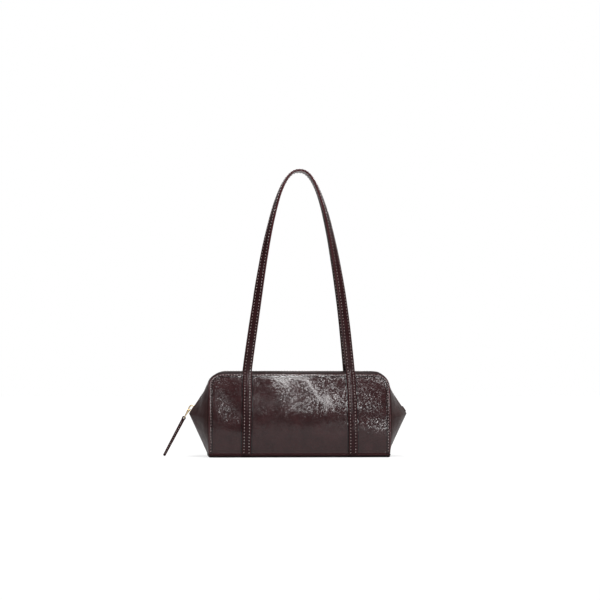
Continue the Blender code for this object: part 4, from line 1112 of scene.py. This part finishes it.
def tape_finish():
    """Herringbone tape: ribs along the tape that slant one way and then the other."""
    material, tree, shader = new_finish("woven_tape", 0.72, Sheen_Weight=0.3, Sheen_Roughness=0.4)
    place = flat_millimetres(tree)
    parts = add_node(tree, "ShaderNodeSeparateXYZ", {0: place}).outputs
    slant = math_node(tree, "ADD", parts[1], math_node(tree, "PINGPONG", parts[0], HERRINGBONE))
    rib = math_node(tree, "SINE", math_node(tree, "MULTIPLY", slant, 2 * math.pi / TAPE_RIB_PITCH))
    weave = math_node(tree, "MULTIPLY_ADD", rib, 0.5, 0.5)
    coloured(tree, shader, weave, (0.010, 0.006, 0.006), (0.034, 0.018, 0.018))
    raised(tree, shader, math_node(tree, "MULTIPLY", weave, 0.08))
    return material


def tape_grid(side, t, depth):
    """A tape: the last few millimetres of the gusset's own surface at this depth, then level to the coil."""
    near, far = np.array([0.0, 3 * MM]), tape_near[::-1]
    lapped = gusset_surface(side, t, near, far, 3, depth, UNDERSIDE_BULGE)[0][:, -5:]
    level = [beside_ridge(side, t, depth, out) for out in np.linspace(CHANNEL_WIDTH / 2, TAPE_EDGE, 5)[1:]]
    return np.concatenate([lapped, np.stack(level, 1)], axis=1)


WOVEN_TAPE = tape_finish()
slope_and_mouth = places[places >= 1].copy()
slope_and_mouth[0] += 0.006
for end_word, end, side_word, side in QUARTERS:
    mirror = np.array([end, 1.0, 1.0])
    layers = [tape_grid(side, slope_and_mouth, depth) * mirror for depth in (INSIDE, INSIDE + LINING)]
    tape = add_sheet(f"zip_tape_{end_word}_{side_word}", *layers, WOVEN_TAPE)
    blended(tape, end, side_word, f"{end_word}_tape_{side_word}", f"mouth_tape_{side_word}")


# The zip's coil: one nylon filament wound flat along each tape, whose heads reach over the middle and
# catch between those of the other side.

COIL_PITCH = 1.7 * MM
COIL_REACH = 0.95 * MM
COIL_BACK = 2.45 * MM
COIL_RISE = 0.72 * MM
FILAMENT = 0.62 * MM
HEAD_SWELL = 0.22
COIL_STEPS = 10
SLIDER_START = 2.6 * MM
COIL_START = {-1: SLIDER_START + 2.9 * MM, 1: 13.5 * MM}


def ridge_path(distance, depth):
    """X and Z at a distance along the outer ridge from the right tip, sunk square to it by a depth."""
    _, tip, low_end, high_end, centre = ridge_marks(0)
    slope = float(np.linalg.norm(low_end - tip))
    arc = RIDGE_CORNER_RADIUS * RIDGE_SLOPE
    up = (low_end - tip) / slope
    d, sunk = np.asarray(distance, float)[:, None], np.asarray(depth, float)[:, None]
    turn = math.pi / 2 - RIDGE_SLOPE + (d - slope) / RIDGE_CORNER_RADIUS
    on_slope = tip + up * d + np.array([-up[1], up[0]]) * sunk
    on_arc = centre + (RIDGE_CORNER_RADIUS - sunk) * np.concatenate([np.cos(turn), np.sin(turn)], 1)
    level = np.concatenate([high_end[0] - (d - slope - arc), high_end[1] - sunk], 1)
    return np.where(d < slope, on_slope, np.where(d < slope + arc, on_arc, level))


def boxed(wave, power):
    """A cosine or sine whose size is raised to a power: one below 1 turns a circle towards a square."""
    return np.sign(wave) * np.abs(wave) ** power


def swept(centre, side_way, up_way, half_width, half_height, sides=6, corner=1.0):
    """Rings about a centre line: an oval of the two half sizes in the two directions, boxed by a power."""
    turn = 2 * math.pi * (np.arange(sides) + 0.5) / sides
    c, s = boxed(np.cos(turn), corner), boxed(np.sin(turn), corner)
    wide = np.broadcast_to(half_width, len(centre))[:, None, None] * c[:, None] * side_way[:, None]
    high = np.broadcast_to(half_height, len(centre))[:, None, None] * s[:, None] * up_way[:, None]
    return centre[:, None] + wide + high


def capped(rings):
    """The same rings with a point at each end, which closes them."""
    return np.concatenate([rings[:1] * 0 + rings[0].mean(0), rings, rings[-1:] * 0 + rings[-1].mean(0)])


def coil_line(side, end):
    """A flattened helix: along the ridge evenly, across and up by the cosine and sine of its turn."""
    _, tip, low_end, _, _ = ridge_marks(0)
    slope_and_arc = float(np.linalg.norm(low_end - tip)) + RIDGE_CORNER_RADIUS * RIDGE_SLOPE
    total = slope_and_arc + MOUTH_HALF_LENGTH
    start = COIL_START[end]
    count = int((total - start) / COIL_PITCH)
    turn = np.linspace(0, count, count * COIL_STEPS + 1)
    along = total - COIL_PITCH * (count - turn) - (COIL_PITCH / 2 if side > 0 else 0) * end
    along = np.clip(along, start, total - 0.01 * MM)
    angle = 2 * math.pi * turn
    middle, half = (COIL_BACK - COIL_REACH) / 2, (COIL_BACK + COIL_REACH) / 2
    across = side * (middle - half * np.cos(angle))
    depth = INSIDE + LINING / 2 - COIL_RISE * np.sin(angle)
    xz = ridge_path(along, depth)
    return np.stack([end * xz[:, 0], across, xz[:, 1]], -1), angle


def filament_finish():
    """Dyed nylon filament: smooth and a little glossy, paler where it is rubbed."""
    material, tree, shader = new_finish("nylon_coil", 0.35, Coat_Weight=0.2, Coat_Roughness=0.2)
    rubbed = noise_through(tree, (900.0, 900.0, 900.0), 2.0)
    coloured(tree, shader, rubbed, (0.014, 0.007, 0.007), (0.050, 0.028, 0.026))
    tree.links.new(math_node(tree, "MULTIPLY_ADD", rubbed, 0.25, 0.22), shader.inputs["Roughness"])
    return material


NYLON = filament_finish()
for end_word, end, side_word, side in QUARTERS:
    line, angle = coil_line(side, end)
    ahead = unit(np.gradient(line, axis=0))
    beside = unit(np.cross(ahead, np.array([end * 0.3, 0.0, 1.0])))
    head = FILAMENT / 2 * (1 + HEAD_SWELL * np.clip(np.cos(angle), 0, 1) ** 4)
    rings = capped(swept(line, beside, np.cross(beside, ahead), head, head, 5))
    coil = add_rings(f"zip_coil_{end_word}_{side_word}", rings, NYLON)
    blended(coil, end, side_word, f"{end_word}_teeth_{side_word}", f"mouth_teeth_{side_word}")


# The zip's stops and the tab: two crimped stops beside the slider, a staple that ties the far end of
# the coil together, and a small block of leather folded over that end and stitched through.

END_TAB_START = 2.4 * MM
END_TAB_LENGTH = 8.5 * MM
END_TAB_RISE = 1.6 * MM
END_TAB_CROWN = 0.25 * MM
STOP_EDGE = 0.25 * MM


def gold_finish():
    """Pale gold plate: bright, a little warmer in slow patches, with fine polishing scratches."""
    material, tree, shader = new_finish("pale_gold", 0.2, Metallic=1.0)
    patches = noise_through(tree, (220.0, 220.0, 220.0), 2.0)
    scratches = noise_through(tree, (900.0, 5200.0, 900.0), 3.0)
    coloured(tree, shader, patches, (0.70, 0.52, 0.28), (0.86, 0.67, 0.40))
    tree.links.new(math_node(tree, "MULTIPLY_ADD", scratches, 0.16, 0.22), shader.inputs["Roughness"])
    raised(tree, shader, math_node(tree, "MULTIPLY", scratches, 0.006))
    return material


def tip_frame(end):
    """The tip's point and the directions up the slope, across the bag and out of the ridge."""
    tip = ridge_marks(0)[1]
    place = np.array([end * tip[0], 0.0, tip[1]])
    along = np.array([-end * math.cos(RIDGE_SLOPE), 0.0, math.sin(RIDGE_SLOPE)])
    out = np.array([end * math.sin(RIDGE_SLOPE), 0.0, math.cos(RIDGE_SLOPE)])
    return place, along, np.array([0.0, 1.0, 0.0]), out


def superellipse(half_long, half_wide, power, count=48):
    """An oval outline between a circle's and a box's: both axes' shares to this power add up to one."""
    turn = 2 * math.pi * np.arange(count) / count
    c, s = boxed(np.cos(turn), 2 / power), boxed(np.sin(turn), 2 / power)
    return np.column_stack([half_long * c, half_wide * s])


def block_rings(outline, middle, low, high, edge, place, crown=0.0):
    """A block with rounded edges: the outline in the first two directions of a frame, drawn towards its
    middle by one minus the cosine of a quarter turn while it rises by its sine. The top may be crowned."""
    turn = np.linspace(0, math.pi / 2, 5)
    away = outline - middle
    reach = np.linalg.norm(away, axis=1, keepdims=True)
    levels = [(1 - math.sin(a), low + edge * (1 - math.cos(a))) for a in turn]
    levels += [(1 - math.sin(a), high - edge * (1 - math.cos(a))) for a in turn[::-1]]
    rings = [(middle + away * 0.0, low), (middle + away * 0.5, low)]
    rings += [(middle + away * (1 - edge * inset / reach), height) for inset, height in levels]
    rings += [(middle + away * share, high + crown * (1 - share**2)) for share in (0.75, 0.5, 0.25, 0.0)]
    start, along, across, out = place
    flats = [start + flat[:, :1] * along + flat[:, 1:] * across for flat, _ in rings]
    return np.array([flat + height * out for flat, (_, height) in zip(flats, rings)])


GOLD = gold_finish()
for node in ("top_stop_front", "top_stop_back", "bottom_stop"):
    stop = refinish(node, GOLD)
    stop.modifiers.new("joined", "WELD").merge_threshold = 1e-5
    soft = stop.modifiers.new("soft_edges", "BEVEL")
    soft.width, soft.segments, soft.limit_method = STOP_EDGE, 3, "ANGLE"

place = tip_frame(1)
middle = np.array([END_TAB_START + END_TAB_LENGTH / 2, 0.0])
outline = superellipse(END_TAB_LENGTH / 2, CHANNEL_WIDTH / 2 - GAP, 6.0, 64) + middle
rings = block_rings(outline, middle, -LEATHER, END_TAB_RISE - END_TAB_CROWN, 0.8 * MM, place, END_TAB_CROWN)
tab = add_rings("zip_end_tab_leather", rings, GUSSET_LEATHER)
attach(tab, "shell")
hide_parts("zip_end_tab")
start, along, across, out = place
row = np.linspace(-1, 1, 40)[:, None] * (CHANNEL_WIDTH / 2 - 0.8 * MM) * across
line = start + (END_TAB_START + END_TAB_LENGTH - 2 * MM) * along + row + (END_TAB_RISE - 0.05 * MM) * out
stitches = add_stitches("zip_end_tab_stitches", line, np.tile(out, (40, 1)), 2.7 * MM, 2.0 * MM, 0.5 * MM)
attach(stitches, "shell")


# The slider: two gold plates joined by a post in front, which gather the coils between them, with low
# rails along their sides. An arch on the upper plate carries the link.

SLIDER_LENGTH = 10.8 * MM
SLIDER_WIDTH = 8.4 * MM
SLIDER_TAIL_WIDTH = 7.0 * MM
SLIDER_PLATE = 1.3 * MM
TEETH_THICKNESS = 2.2 * MM
POST_LENGTH = 2.2 * MM
POST_WIDTH = 1.2 * MM
BRIDGE_START = 3.2 * MM
BRIDGE_LENGTH = 7.8 * MM
BRIDGE_WIDTH = 3.0 * MM
BRIDGE_HEIGHT = 3.2 * MM
BRIDGE_WALL = 0.9 * MM
ARCH_SWELL = 0.9 * MM
ARCH_SQUARE_ALONG, ARCH_SQUARE_UP = 0.62, 0.72
PLATE_EDGE = 0.4 * MM
PLATE_CROWN = 0.15 * MM
SUNK = 0.3 * MM
COIL_DEPTH = INSIDE + LINING / 2
PLATE_LOW = -(COIL_DEPTH - TEETH_THICKNESS / 2) + GAP
PLATE_HIGH = PLATE_LOW + SLIDER_PLATE
UNDER_HIGH = -(COIL_DEPTH + TEETH_THICKNESS / 2) - GAP


def slider_outline():
    """The plate from above: an oval near a box, as wide at the tip's side as the slider and narrower, by a
    smooth step, at its tail."""
    long, wide = superellipse(SLIDER_LENGTH / 2, 1.0, 4.5, 64).T
    ease = eased(long / SLIDER_LENGTH + 0.5)
    return np.column_stack([long, wide * (SLIDER_WIDTH + (SLIDER_TAIL_WIDTH - SLIDER_WIDTH) * ease) / 2])


place = tip_frame(-1)
middle = np.array([SLIDER_START + SLIDER_LENGTH / 2, 0.0])
plate = slider_outline() + middle
plates = [
    block_rings(plate, middle, PLATE_LOW, PLATE_HIGH - PLATE_CROWN, PLATE_EDGE, place, PLATE_CROWN),
    block_rings(plate, middle, UNDER_HIGH - SLIDER_PLATE, UNDER_HIGH, PLATE_EDGE, place),
]
post_middle = np.array([SLIDER_START + 2 * GAP + POST_LENGTH / 2, 0.0])
post = superellipse(POST_LENGTH / 2, POST_WIDTH / 2, 2.5, 24) + post_middle
plates.append(block_rings(post, post_middle, UNDER_HIGH - SUNK, PLATE_LOW + SUNK, 0.1 * MM, place))
rail_middle = np.array([SLIDER_START + SLIDER_LENGTH / 2, (TAPE_EDGE + SLIDER_TAIL_WIDTH / 2) / 2])
rail = superellipse(SLIDER_LENGTH / 2 - SLIDER_PLATE, (SLIDER_TAIL_WIDTH / 2 - TAPE_EDGE) / 2, 4.0, 24)
for side in (-1, 1):
    at = rail_middle * np.array([1.0, side])
    for low, high in ((-INSIDE + GAP, PLATE_LOW + SUNK), (UNDER_HIGH - SUNK, -INSIDE - LINING - GAP)):
        plates.append(block_rings(rail + at, at, low, high, 0.15 * MM, place))
shapes = [add_rings(f"slider_part_{k}", rings, GOLD) for k, rings in enumerate(plates)]


def united(name, shapes):
    """One piece out of several closed shapes."""
    first = shapes[0]
    chosen = {"selected_editable_objects": shapes, "selected_objects": shapes}
    with bpy.context.temp_override(active_object=first, object=first, **chosen):
        bpy.ops.object.join()
    first.name = first.data.name = name
    return first


slider = united("slider_plates", shapes)
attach(slider, "slider")
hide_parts("slider_body")

start, along, across, out = place
rise = np.linspace(-0.12, 1.12, 41) * math.pi
half_span = (BRIDGE_LENGTH - BRIDGE_WALL) / 2
climb = BRIDGE_HEIGHT + GAP - BRIDGE_WALL / 2 + PLATE_CROWN
arch = np.column_stack([
    BRIDGE_START + BRIDGE_LENGTH / 2 - half_span * boxed(np.cos(rise), ARCH_SQUARE_ALONG),
    PLATE_HIGH - PLATE_CROWN + climb * boxed(np.sin(rise), ARCH_SQUARE_UP),
])
arch = arch[arch[:, 1] > PLATE_HIGH - SUNK]
line = start + arch[:, :1] * along + arch[:, 1:] * out
ahead = unit(np.gradient(line, axis=0))
beside = np.broadcast_to(across, line.shape)
outward = np.cross(ahead, beside)
waist = BRIDGE_WIDTH / 2 * (0.82 + 0.18 * np.linspace(-1, 1, len(line)) ** 2)
swell = ARCH_SWELL * np.clip(np.sin(np.linspace(0, math.pi, len(line))), 0, 1) ** 0.5
middles = line + (swell / 2)[:, None] * outward
arch_rings = swept(middles, beside, outward, waist, (BRIDGE_WALL + swell) / 2, 16, 0.6)
bridge = add_rings("slider_arch", capped(arch_rings), GOLD)
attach(bridge, "slider")
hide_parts("slider_bridge")


# The link: a narrow ring of gold wire that hangs in the slider's arch and carries the leather puller.
# It thickens to a knuckle just outside the slider, where the photo shows a bright spot.

LINK_WIRE = 1.1 * MM
KNUCKLE = 2.4 * MM
LINK_LENGTH = 13.8 * MM
LINK_WIDTH = 5.4 * MM
LINK_CORNER = 1.8 * MM
LINK_LEAN = math.radians(36.2)
PULLER_LEAN = math.radians(27.6)
KNUCKLE_START, KNUCKLE_RISE = 0.6 * MM, 1.4 * MM
KNUCKLE_HIGH, KNUCKLE_FALL = 4.2 * MM, 3.0 * MM


def leaning(angle):
    """Down, and for a positive angle outward at the left tip."""
    return np.array([-math.sin(angle), 0.0, -math.cos(angle)])


LINK_PIVOT = start + (BRIDGE_START + BRIDGE_WALL + LINK_WIRE / 2 + 2 * GAP) * along
LINK_PIVOT = LINK_PIVOT + (PLATE_HIGH + GAP + LINK_WIRE / 2 + GAP) * out
EYE = LINK_PIVOT + LINK_LENGTH * leaning(LINK_LEAN)
along, normal = leaning(LINK_LEAN), np.cross(leaning(LINK_LEAN), across)
# A ring round four corners: each quarter turn lies about a corner of the link's box.
turn = np.linspace(0, 2 * math.pi, 121)[:-1]
quarter = np.floor(turn / (math.pi / 2))
u, v = np.where((quarter == 0) | (quarter == 3), 1, -1), np.where(quarter < 2, 1, -1)
spoke = np.cos(turn)[:, None] * along + np.sin(turn)[:, None] * across
centre = LINK_PIVOT + along * LINK_LENGTH / 2 + LINK_CORNER * spoke
centre += (u * (LINK_LENGTH / 2 - LINK_CORNER))[:, None] * along
centre += (v * (LINK_WIDTH / 2 - LINK_CORNER))[:, None] * across
down = (centre - LINK_PIVOT) @ along
rise, fall = eased((down - KNUCKLE_START) / KNUCKLE_RISE), eased((down - KNUCKLE_HIGH) / KNUCKLE_FALL)
knuckle = KNUCKLE * rise * (1 - fall)
centre -= normal * (knuckle[:, None] / 2)
half_height = (LINK_WIRE + knuckle) / 2
wire = swept(centre, spoke, np.broadcast_to(normal, centre.shape), LINK_WIRE / 2, half_height, 14)
link = add_rings("link_wire", np.concatenate([wire, wire[:1]]), GOLD)
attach(link, "link")
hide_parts("pull_link")


# The puller: two plies of leather glued and stitched down the middle, with painted edges and an eye
# punched through its round head. It leans from the link to the table.

PULLER_LENGTH = 54.5 * MM
PULLER_HEAD = 2.6 * MM
PULLER_NECK = 4.3 * MM
PULLER_END = 3.4 * MM
PULLER_PLY = 1.35 * MM
PULLER_TAIL = 1.6 * MM
PULLER_TAIL_POWER = 2.6
EYE_RADIUS = LINK_WIRE / 2 + 0.35 * MM
STRAP_LEATHER = leather_finish(
    "strap_leather", (0.018, 0.0055, 0.0060), (0.032, 0.0100, 0.0110), (0.058, 0.016, 0.018),
    pebble=1.2, depth=0.020, lean=0.07, roughness=0.18, spread=0.04,
    Specular_IOR_Level=0.10, Coat_Weight=0.03, Coat_Roughness=0.12,
)


def puller_half_width(x):
    """A round head about the eye, then straight sides that draw in slowly, and a softly rounded end."""
    head = np.sqrt(np.clip(PULLER_HEAD**2 - x**2, 0, None))
    share = np.clip(x / PULLER_LENGTH, 0, 1)
    sides = (PULLER_NECK + (PULLER_END - PULLER_NECK) * share) / 2
    into = np.clip((x - (PULLER_LENGTH - PULLER_TAIL)) / PULLER_TAIL, 0, 1)
    sides = sides * (1 - into**PULLER_TAIL_POWER) ** (1 / PULLER_TAIL_POWER)
    return np.where(x < 0, head, np.maximum(np.where(x < PULLER_HEAD, head, 0), sides))


def puller_ply(low, high, y_sign):
    """One ply: across it at each place from its edge to the eye's rim or the middle, and on to the other
    edge. The outer face rounds over towards its edges and is pressed in along the stitches."""
    turn = np.linspace(0, math.pi, 25)
    eye_end, tail_start = 1.8 * MM, PULLER_LENGTH - 1.8 * MM
    round_head, round_tail = -PULLER_HEAD * np.cos(turn[:9] / 2), PULLER_LENGTH - 1.8 * MM * np.cos(turn / 2)
    about_eye, rest = np.linspace(-1.7 * MM, 1.7 * MM, 29), np.linspace(eye_end, tail_start, 74)
    x = np.concatenate([round_head, about_eye, rest, round_tail, [-EYE_RADIUS, EYE_RADIUS]])
    x = np.unique(np.round(x, 8))
    inner = np.sqrt(np.clip(EYE_RADIUS**2 - x**2, 0, None))
    outer = puller_half_width(x)
    share = np.array([0.0, 0.04, 0.1, 0.2, 0.35, 0.5, 0.65, 0.8, 0.92, 1.0])
    half = outer[:, None] + (inner - outer)[:, None] * share
    across = np.concatenate([half, -half[:, ::-1]], axis=1)
    place = np.broadcast_to(x[:, None], across.shape)
    to_edge = np.minimum(outer[:, None] - np.abs(across), PULLER_LENGTH - place)
    to_edge = np.where(place < 0, PULLER_HEAD - np.hypot(place, across), to_edge)
    near = np.clip(1 - to_edge / (0.45 * MM), 0, 1)
    rim = np.clip(1 - (np.hypot(place, across) - EYE_RADIUS) / (0.3 * MM), 0, 1)
    groove = 0.22 * MM * bell(across, 0.5 * MM) * (place > 4 * MM)
    face = high - 0.42 * MM * (1 - np.sqrt(1 - near**2)) - 0.15 * MM * rim**2 - groove
    kept = np.ones((len(x) - 1, across.shape[1] - 1), bool)
    kept[:, len(share) - 1] = False
    along, out = leaning(PULLER_LEAN), np.array([0.0, y_sign, 0.0])
    sideways = np.cross(out, along)
    flat = EYE + place[..., None] * along + across[..., None] * sideways
    worn = np.clip(1 - to_edge / (0.4 * MM), 0, 1)
    return flat + face[..., None] * out, flat + low * out, kept, worn


for word, sign in (("front", -1.0), ("back", 1.0)):
    outer, inner, kept, worn = puller_ply(GAP / 2, GAP / 2 + PULLER_PLY, sign)
    ply = add_sheet(f"puller_ply_{word}", outer, inner, STRAP_LEATHER, kept, {"edge": worn})
    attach(ply, "puller")
    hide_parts(f"puller_{word}")
    run, out = np.linspace(4.6 * MM, PULLER_LENGTH - 2.2 * MM, 60)[:, None], np.array([0.0, sign, 0.0])
    line = EYE + run * leaning(PULLER_LEAN) + (GAP / 2 + PULLER_PLY - 0.16 * MM) * out
    size = 3.2 * MM, 2.3 * MM, 0.6 * MM, 0.1
    stitches = add_stitches(f"puller_stitches_{word}", line, np.tile(out, (60, 1)), *size)
    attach(stitches, "puller")


# The straps: two long strips, each two plies glued back to back with painted edges and a row of
# stitches along both sides. Their ends are sewn down the panels to the base, and between them each
# rises as a free loop that turns its face from the front to the sky.

STRAP_WIDTH = 11 * MM
STRAP_PLY = 1.5 * MM
STRAP_RISE = 259 * MM
STRAP_CURVE_POWER = 2.33
STRAP_STEP = 1.3 * MM
STRAP_STITCH_INSET = 2.3 * MM
LOOP_SHIFT = 1.8 * MM
STRAP_STITCHES = 3.95 * MM, 1.9 * MM, 1.15 * MM
LEG_WANDER = 0.12 * MM
STRAP_SQUARE = 0.42
BLUR = np.exp(-((np.arange(-6, 7) / 3.2) ** 2))


def leg_line(side, hand, share):
    """The middle of a sewn leg, and its outward direction: down the panel at a slowly widening distance."""
    x = hand * (LEG_SPREAD + LEG_FLARE * (1 - share))
    normal = panel_normal(side, x, share)
    return panel_surface(side, x, share) + (GAP + STRAP_PLY) * normal, normal


def loop_line(side, u):
    """The middle of a free loop: its height falls from the crest with a power of the distance across, and
    it leans in over the bag by the same share."""
    foot = panel_surface(side, 0.0, 1.0, -GAP - 2 * STRAP_PLY) - side * np.array([0.0, STRAP_PLY / 2, 0.0])
    fall = np.abs(u) ** STRAP_CURVE_POWER
    crest = side * (STRAP_WIDTH / 2 + GAP / 2)
    height = foot[2] + 2 * GAP + STRAP_RISE * (1 - fall)
    return np.stack([LEG_SPREAD * u, crest + (foot[1] - crest) * fall, height], -1)


def evened_out(values):
    """Each point averaged with its neighbours along the line, by the weights of a Gauss curve."""
    reach = len(BLUR) // 2
    padded = np.pad(values, ((reach, reach), (0, 0)), "edge")
    return np.stack([np.convolve(column, BLUR / BLUR.sum(), "valid") for column in padded.T], -1)


def strap_line(side):
    """A whole strap: up one leg, round the loop and down the other, with the bends over the top seams
    evened out, and the direction that its face turns to at each point."""
    share = np.linspace(GAP / SECTION_LENGTH, 1, 90)
    u = np.sin(np.linspace(-1, 1, 1200) * math.pi / 2)
    loop = loop_line(side, u)
    ahead = unit(np.gradient(loop, axis=0))
    level = np.array([0.0, side, 0.0])
    skyward = np.cross(ahead, level) * side
    skyward *= np.sign(skyward[len(u) // 2, 2])
    turn = (math.pi / 2 * np.sin(math.pi / 2 * (1 - np.abs(u))))[:, None]
    turned = np.cos(turn) * unit(level - ahead * (ahead @ level)[:, None]) + np.sin(turn) * unit(skyward)
    (left, left_out), (right, right_out) = (leg_line(side, hand, share) for hand in (-1, 1))
    line = np.concatenate([left[:-1], loop, right[::-1][1:]])
    facing = np.concatenate([left_out[:-1], turned, right_out[::-1][1:]])
    run = run_along(line)
    even = np.linspace(0, run[-1], round(run[-1] / STRAP_STEP) + 1)
    line, facing = read_at(even, run, line), read_at(even, run, facing)
    seam = run[[len(share) - 1, len(share) + len(u) - 2]]
    near = np.exp(-((np.abs(even[:, None] - seam).min(1) / (9 * MM)) ** 4))[:, None]
    line += near * (evened_out(line) - line)
    facing += near * (evened_out(facing) - facing)
    ahead = unit(np.gradient(line, axis=0))
    facing = unit(facing - ahead * (facing * ahead).sum(1, keepdims=True))
    return line, ahead, facing, even, seam


def strap_section(count=44):
    """Across and height of the strap's outline: a box with rounded corners, a pressed line under each row of
    stitches, a slight swell between them, and a fine groove along each edge where the plies meet."""
    turn = 2 * math.pi * np.arange(count) / count
    across = STRAP_WIDTH / 2 * boxed(np.cos(turn), STRAP_SQUARE)
    height = STRAP_PLY * boxed(np.sin(turn), STRAP_SQUARE)
    row = STRAP_WIDTH / 2 - STRAP_STITCH_INSET
    pressed = bell(np.abs(across) - row, 0.6 * MM)
    swell = np.clip(1 - (across / row) ** 2, 0, 1)
    height = height * (1 - 0.05 * pressed + 0.04 * swell)
    worn = np.clip((np.abs(across) - (STRAP_WIDTH / 2 - 0.55 * MM)) / (0.3 * MM), 0, 1)
    # Also returned: how far the painted edges reach, and painted shade along the pressed lines under the
    # stitches.
    return across * (1 - 0.02 * bell(height, 0.25 * MM)), height, worn, 0.8 * pressed


for word, side in SIDES:
    line, ahead, facing, even, seam = strap_line(side)
    beside = np.cross(ahead, facing)
    across, height, worn, pressed = strap_section()
    free_of_seams = np.clip(np.abs(even[:, None] - seam).min(1, keepdims=True) / (20 * MM), 0, 1)
    wander = LEG_WANDER * waves(even, 0 * even, 45 * MM, 400 + side)[:, None]
    line = line + wander * facing * free_of_seams
    line[:, 0] += LOOP_SHIFT * eased((line[:, 2] - 0.8 * BODY_HEIGHT) / (1.1 * BODY_HEIGHT))
    rings = capped(line[:, None] + across[:, None] * beside[:, None] + height[:, None] * facing[:, None])
    # The seam mask is painted shade along the rows of stitches.
    masks = {"edge": np.tile(worn, len(rings)), "seam": np.tile(pressed, len(rings))}
    strap = add_rings(f"{word}_strap", rings, STRAP_LEATHER, masks)
    pieces = [strap]
    free = (even > seam[0] + 8 * MM) & (even < seam[1] - 8 * MM)
    offset = STRAP_WIDTH / 2 - STRAP_STITCH_INSET
    for row_word, row in (("left", -1), ("right", 1)):
        for face_word, sign in (("face", 1), ("lining", -1)):
            part = slice(1, -1) if sign > 0 else free
            edge = line + row * offset * beside + sign * STRAP_PLY * 0.97 * facing
            name = f"{word}_strap_{face_word}_stitches_{row_word}"
            pieces.append(add_stitches(name, edge[part], sign * facing[part], *STRAP_STITCHES))
    for piece in pieces:
        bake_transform(piece)
    legs = f"{word}_left_strap_leg", f"{word}_right_strap_leg"
    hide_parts(*legs, f"{word}_strap_face", f"{word}_strap_backing")
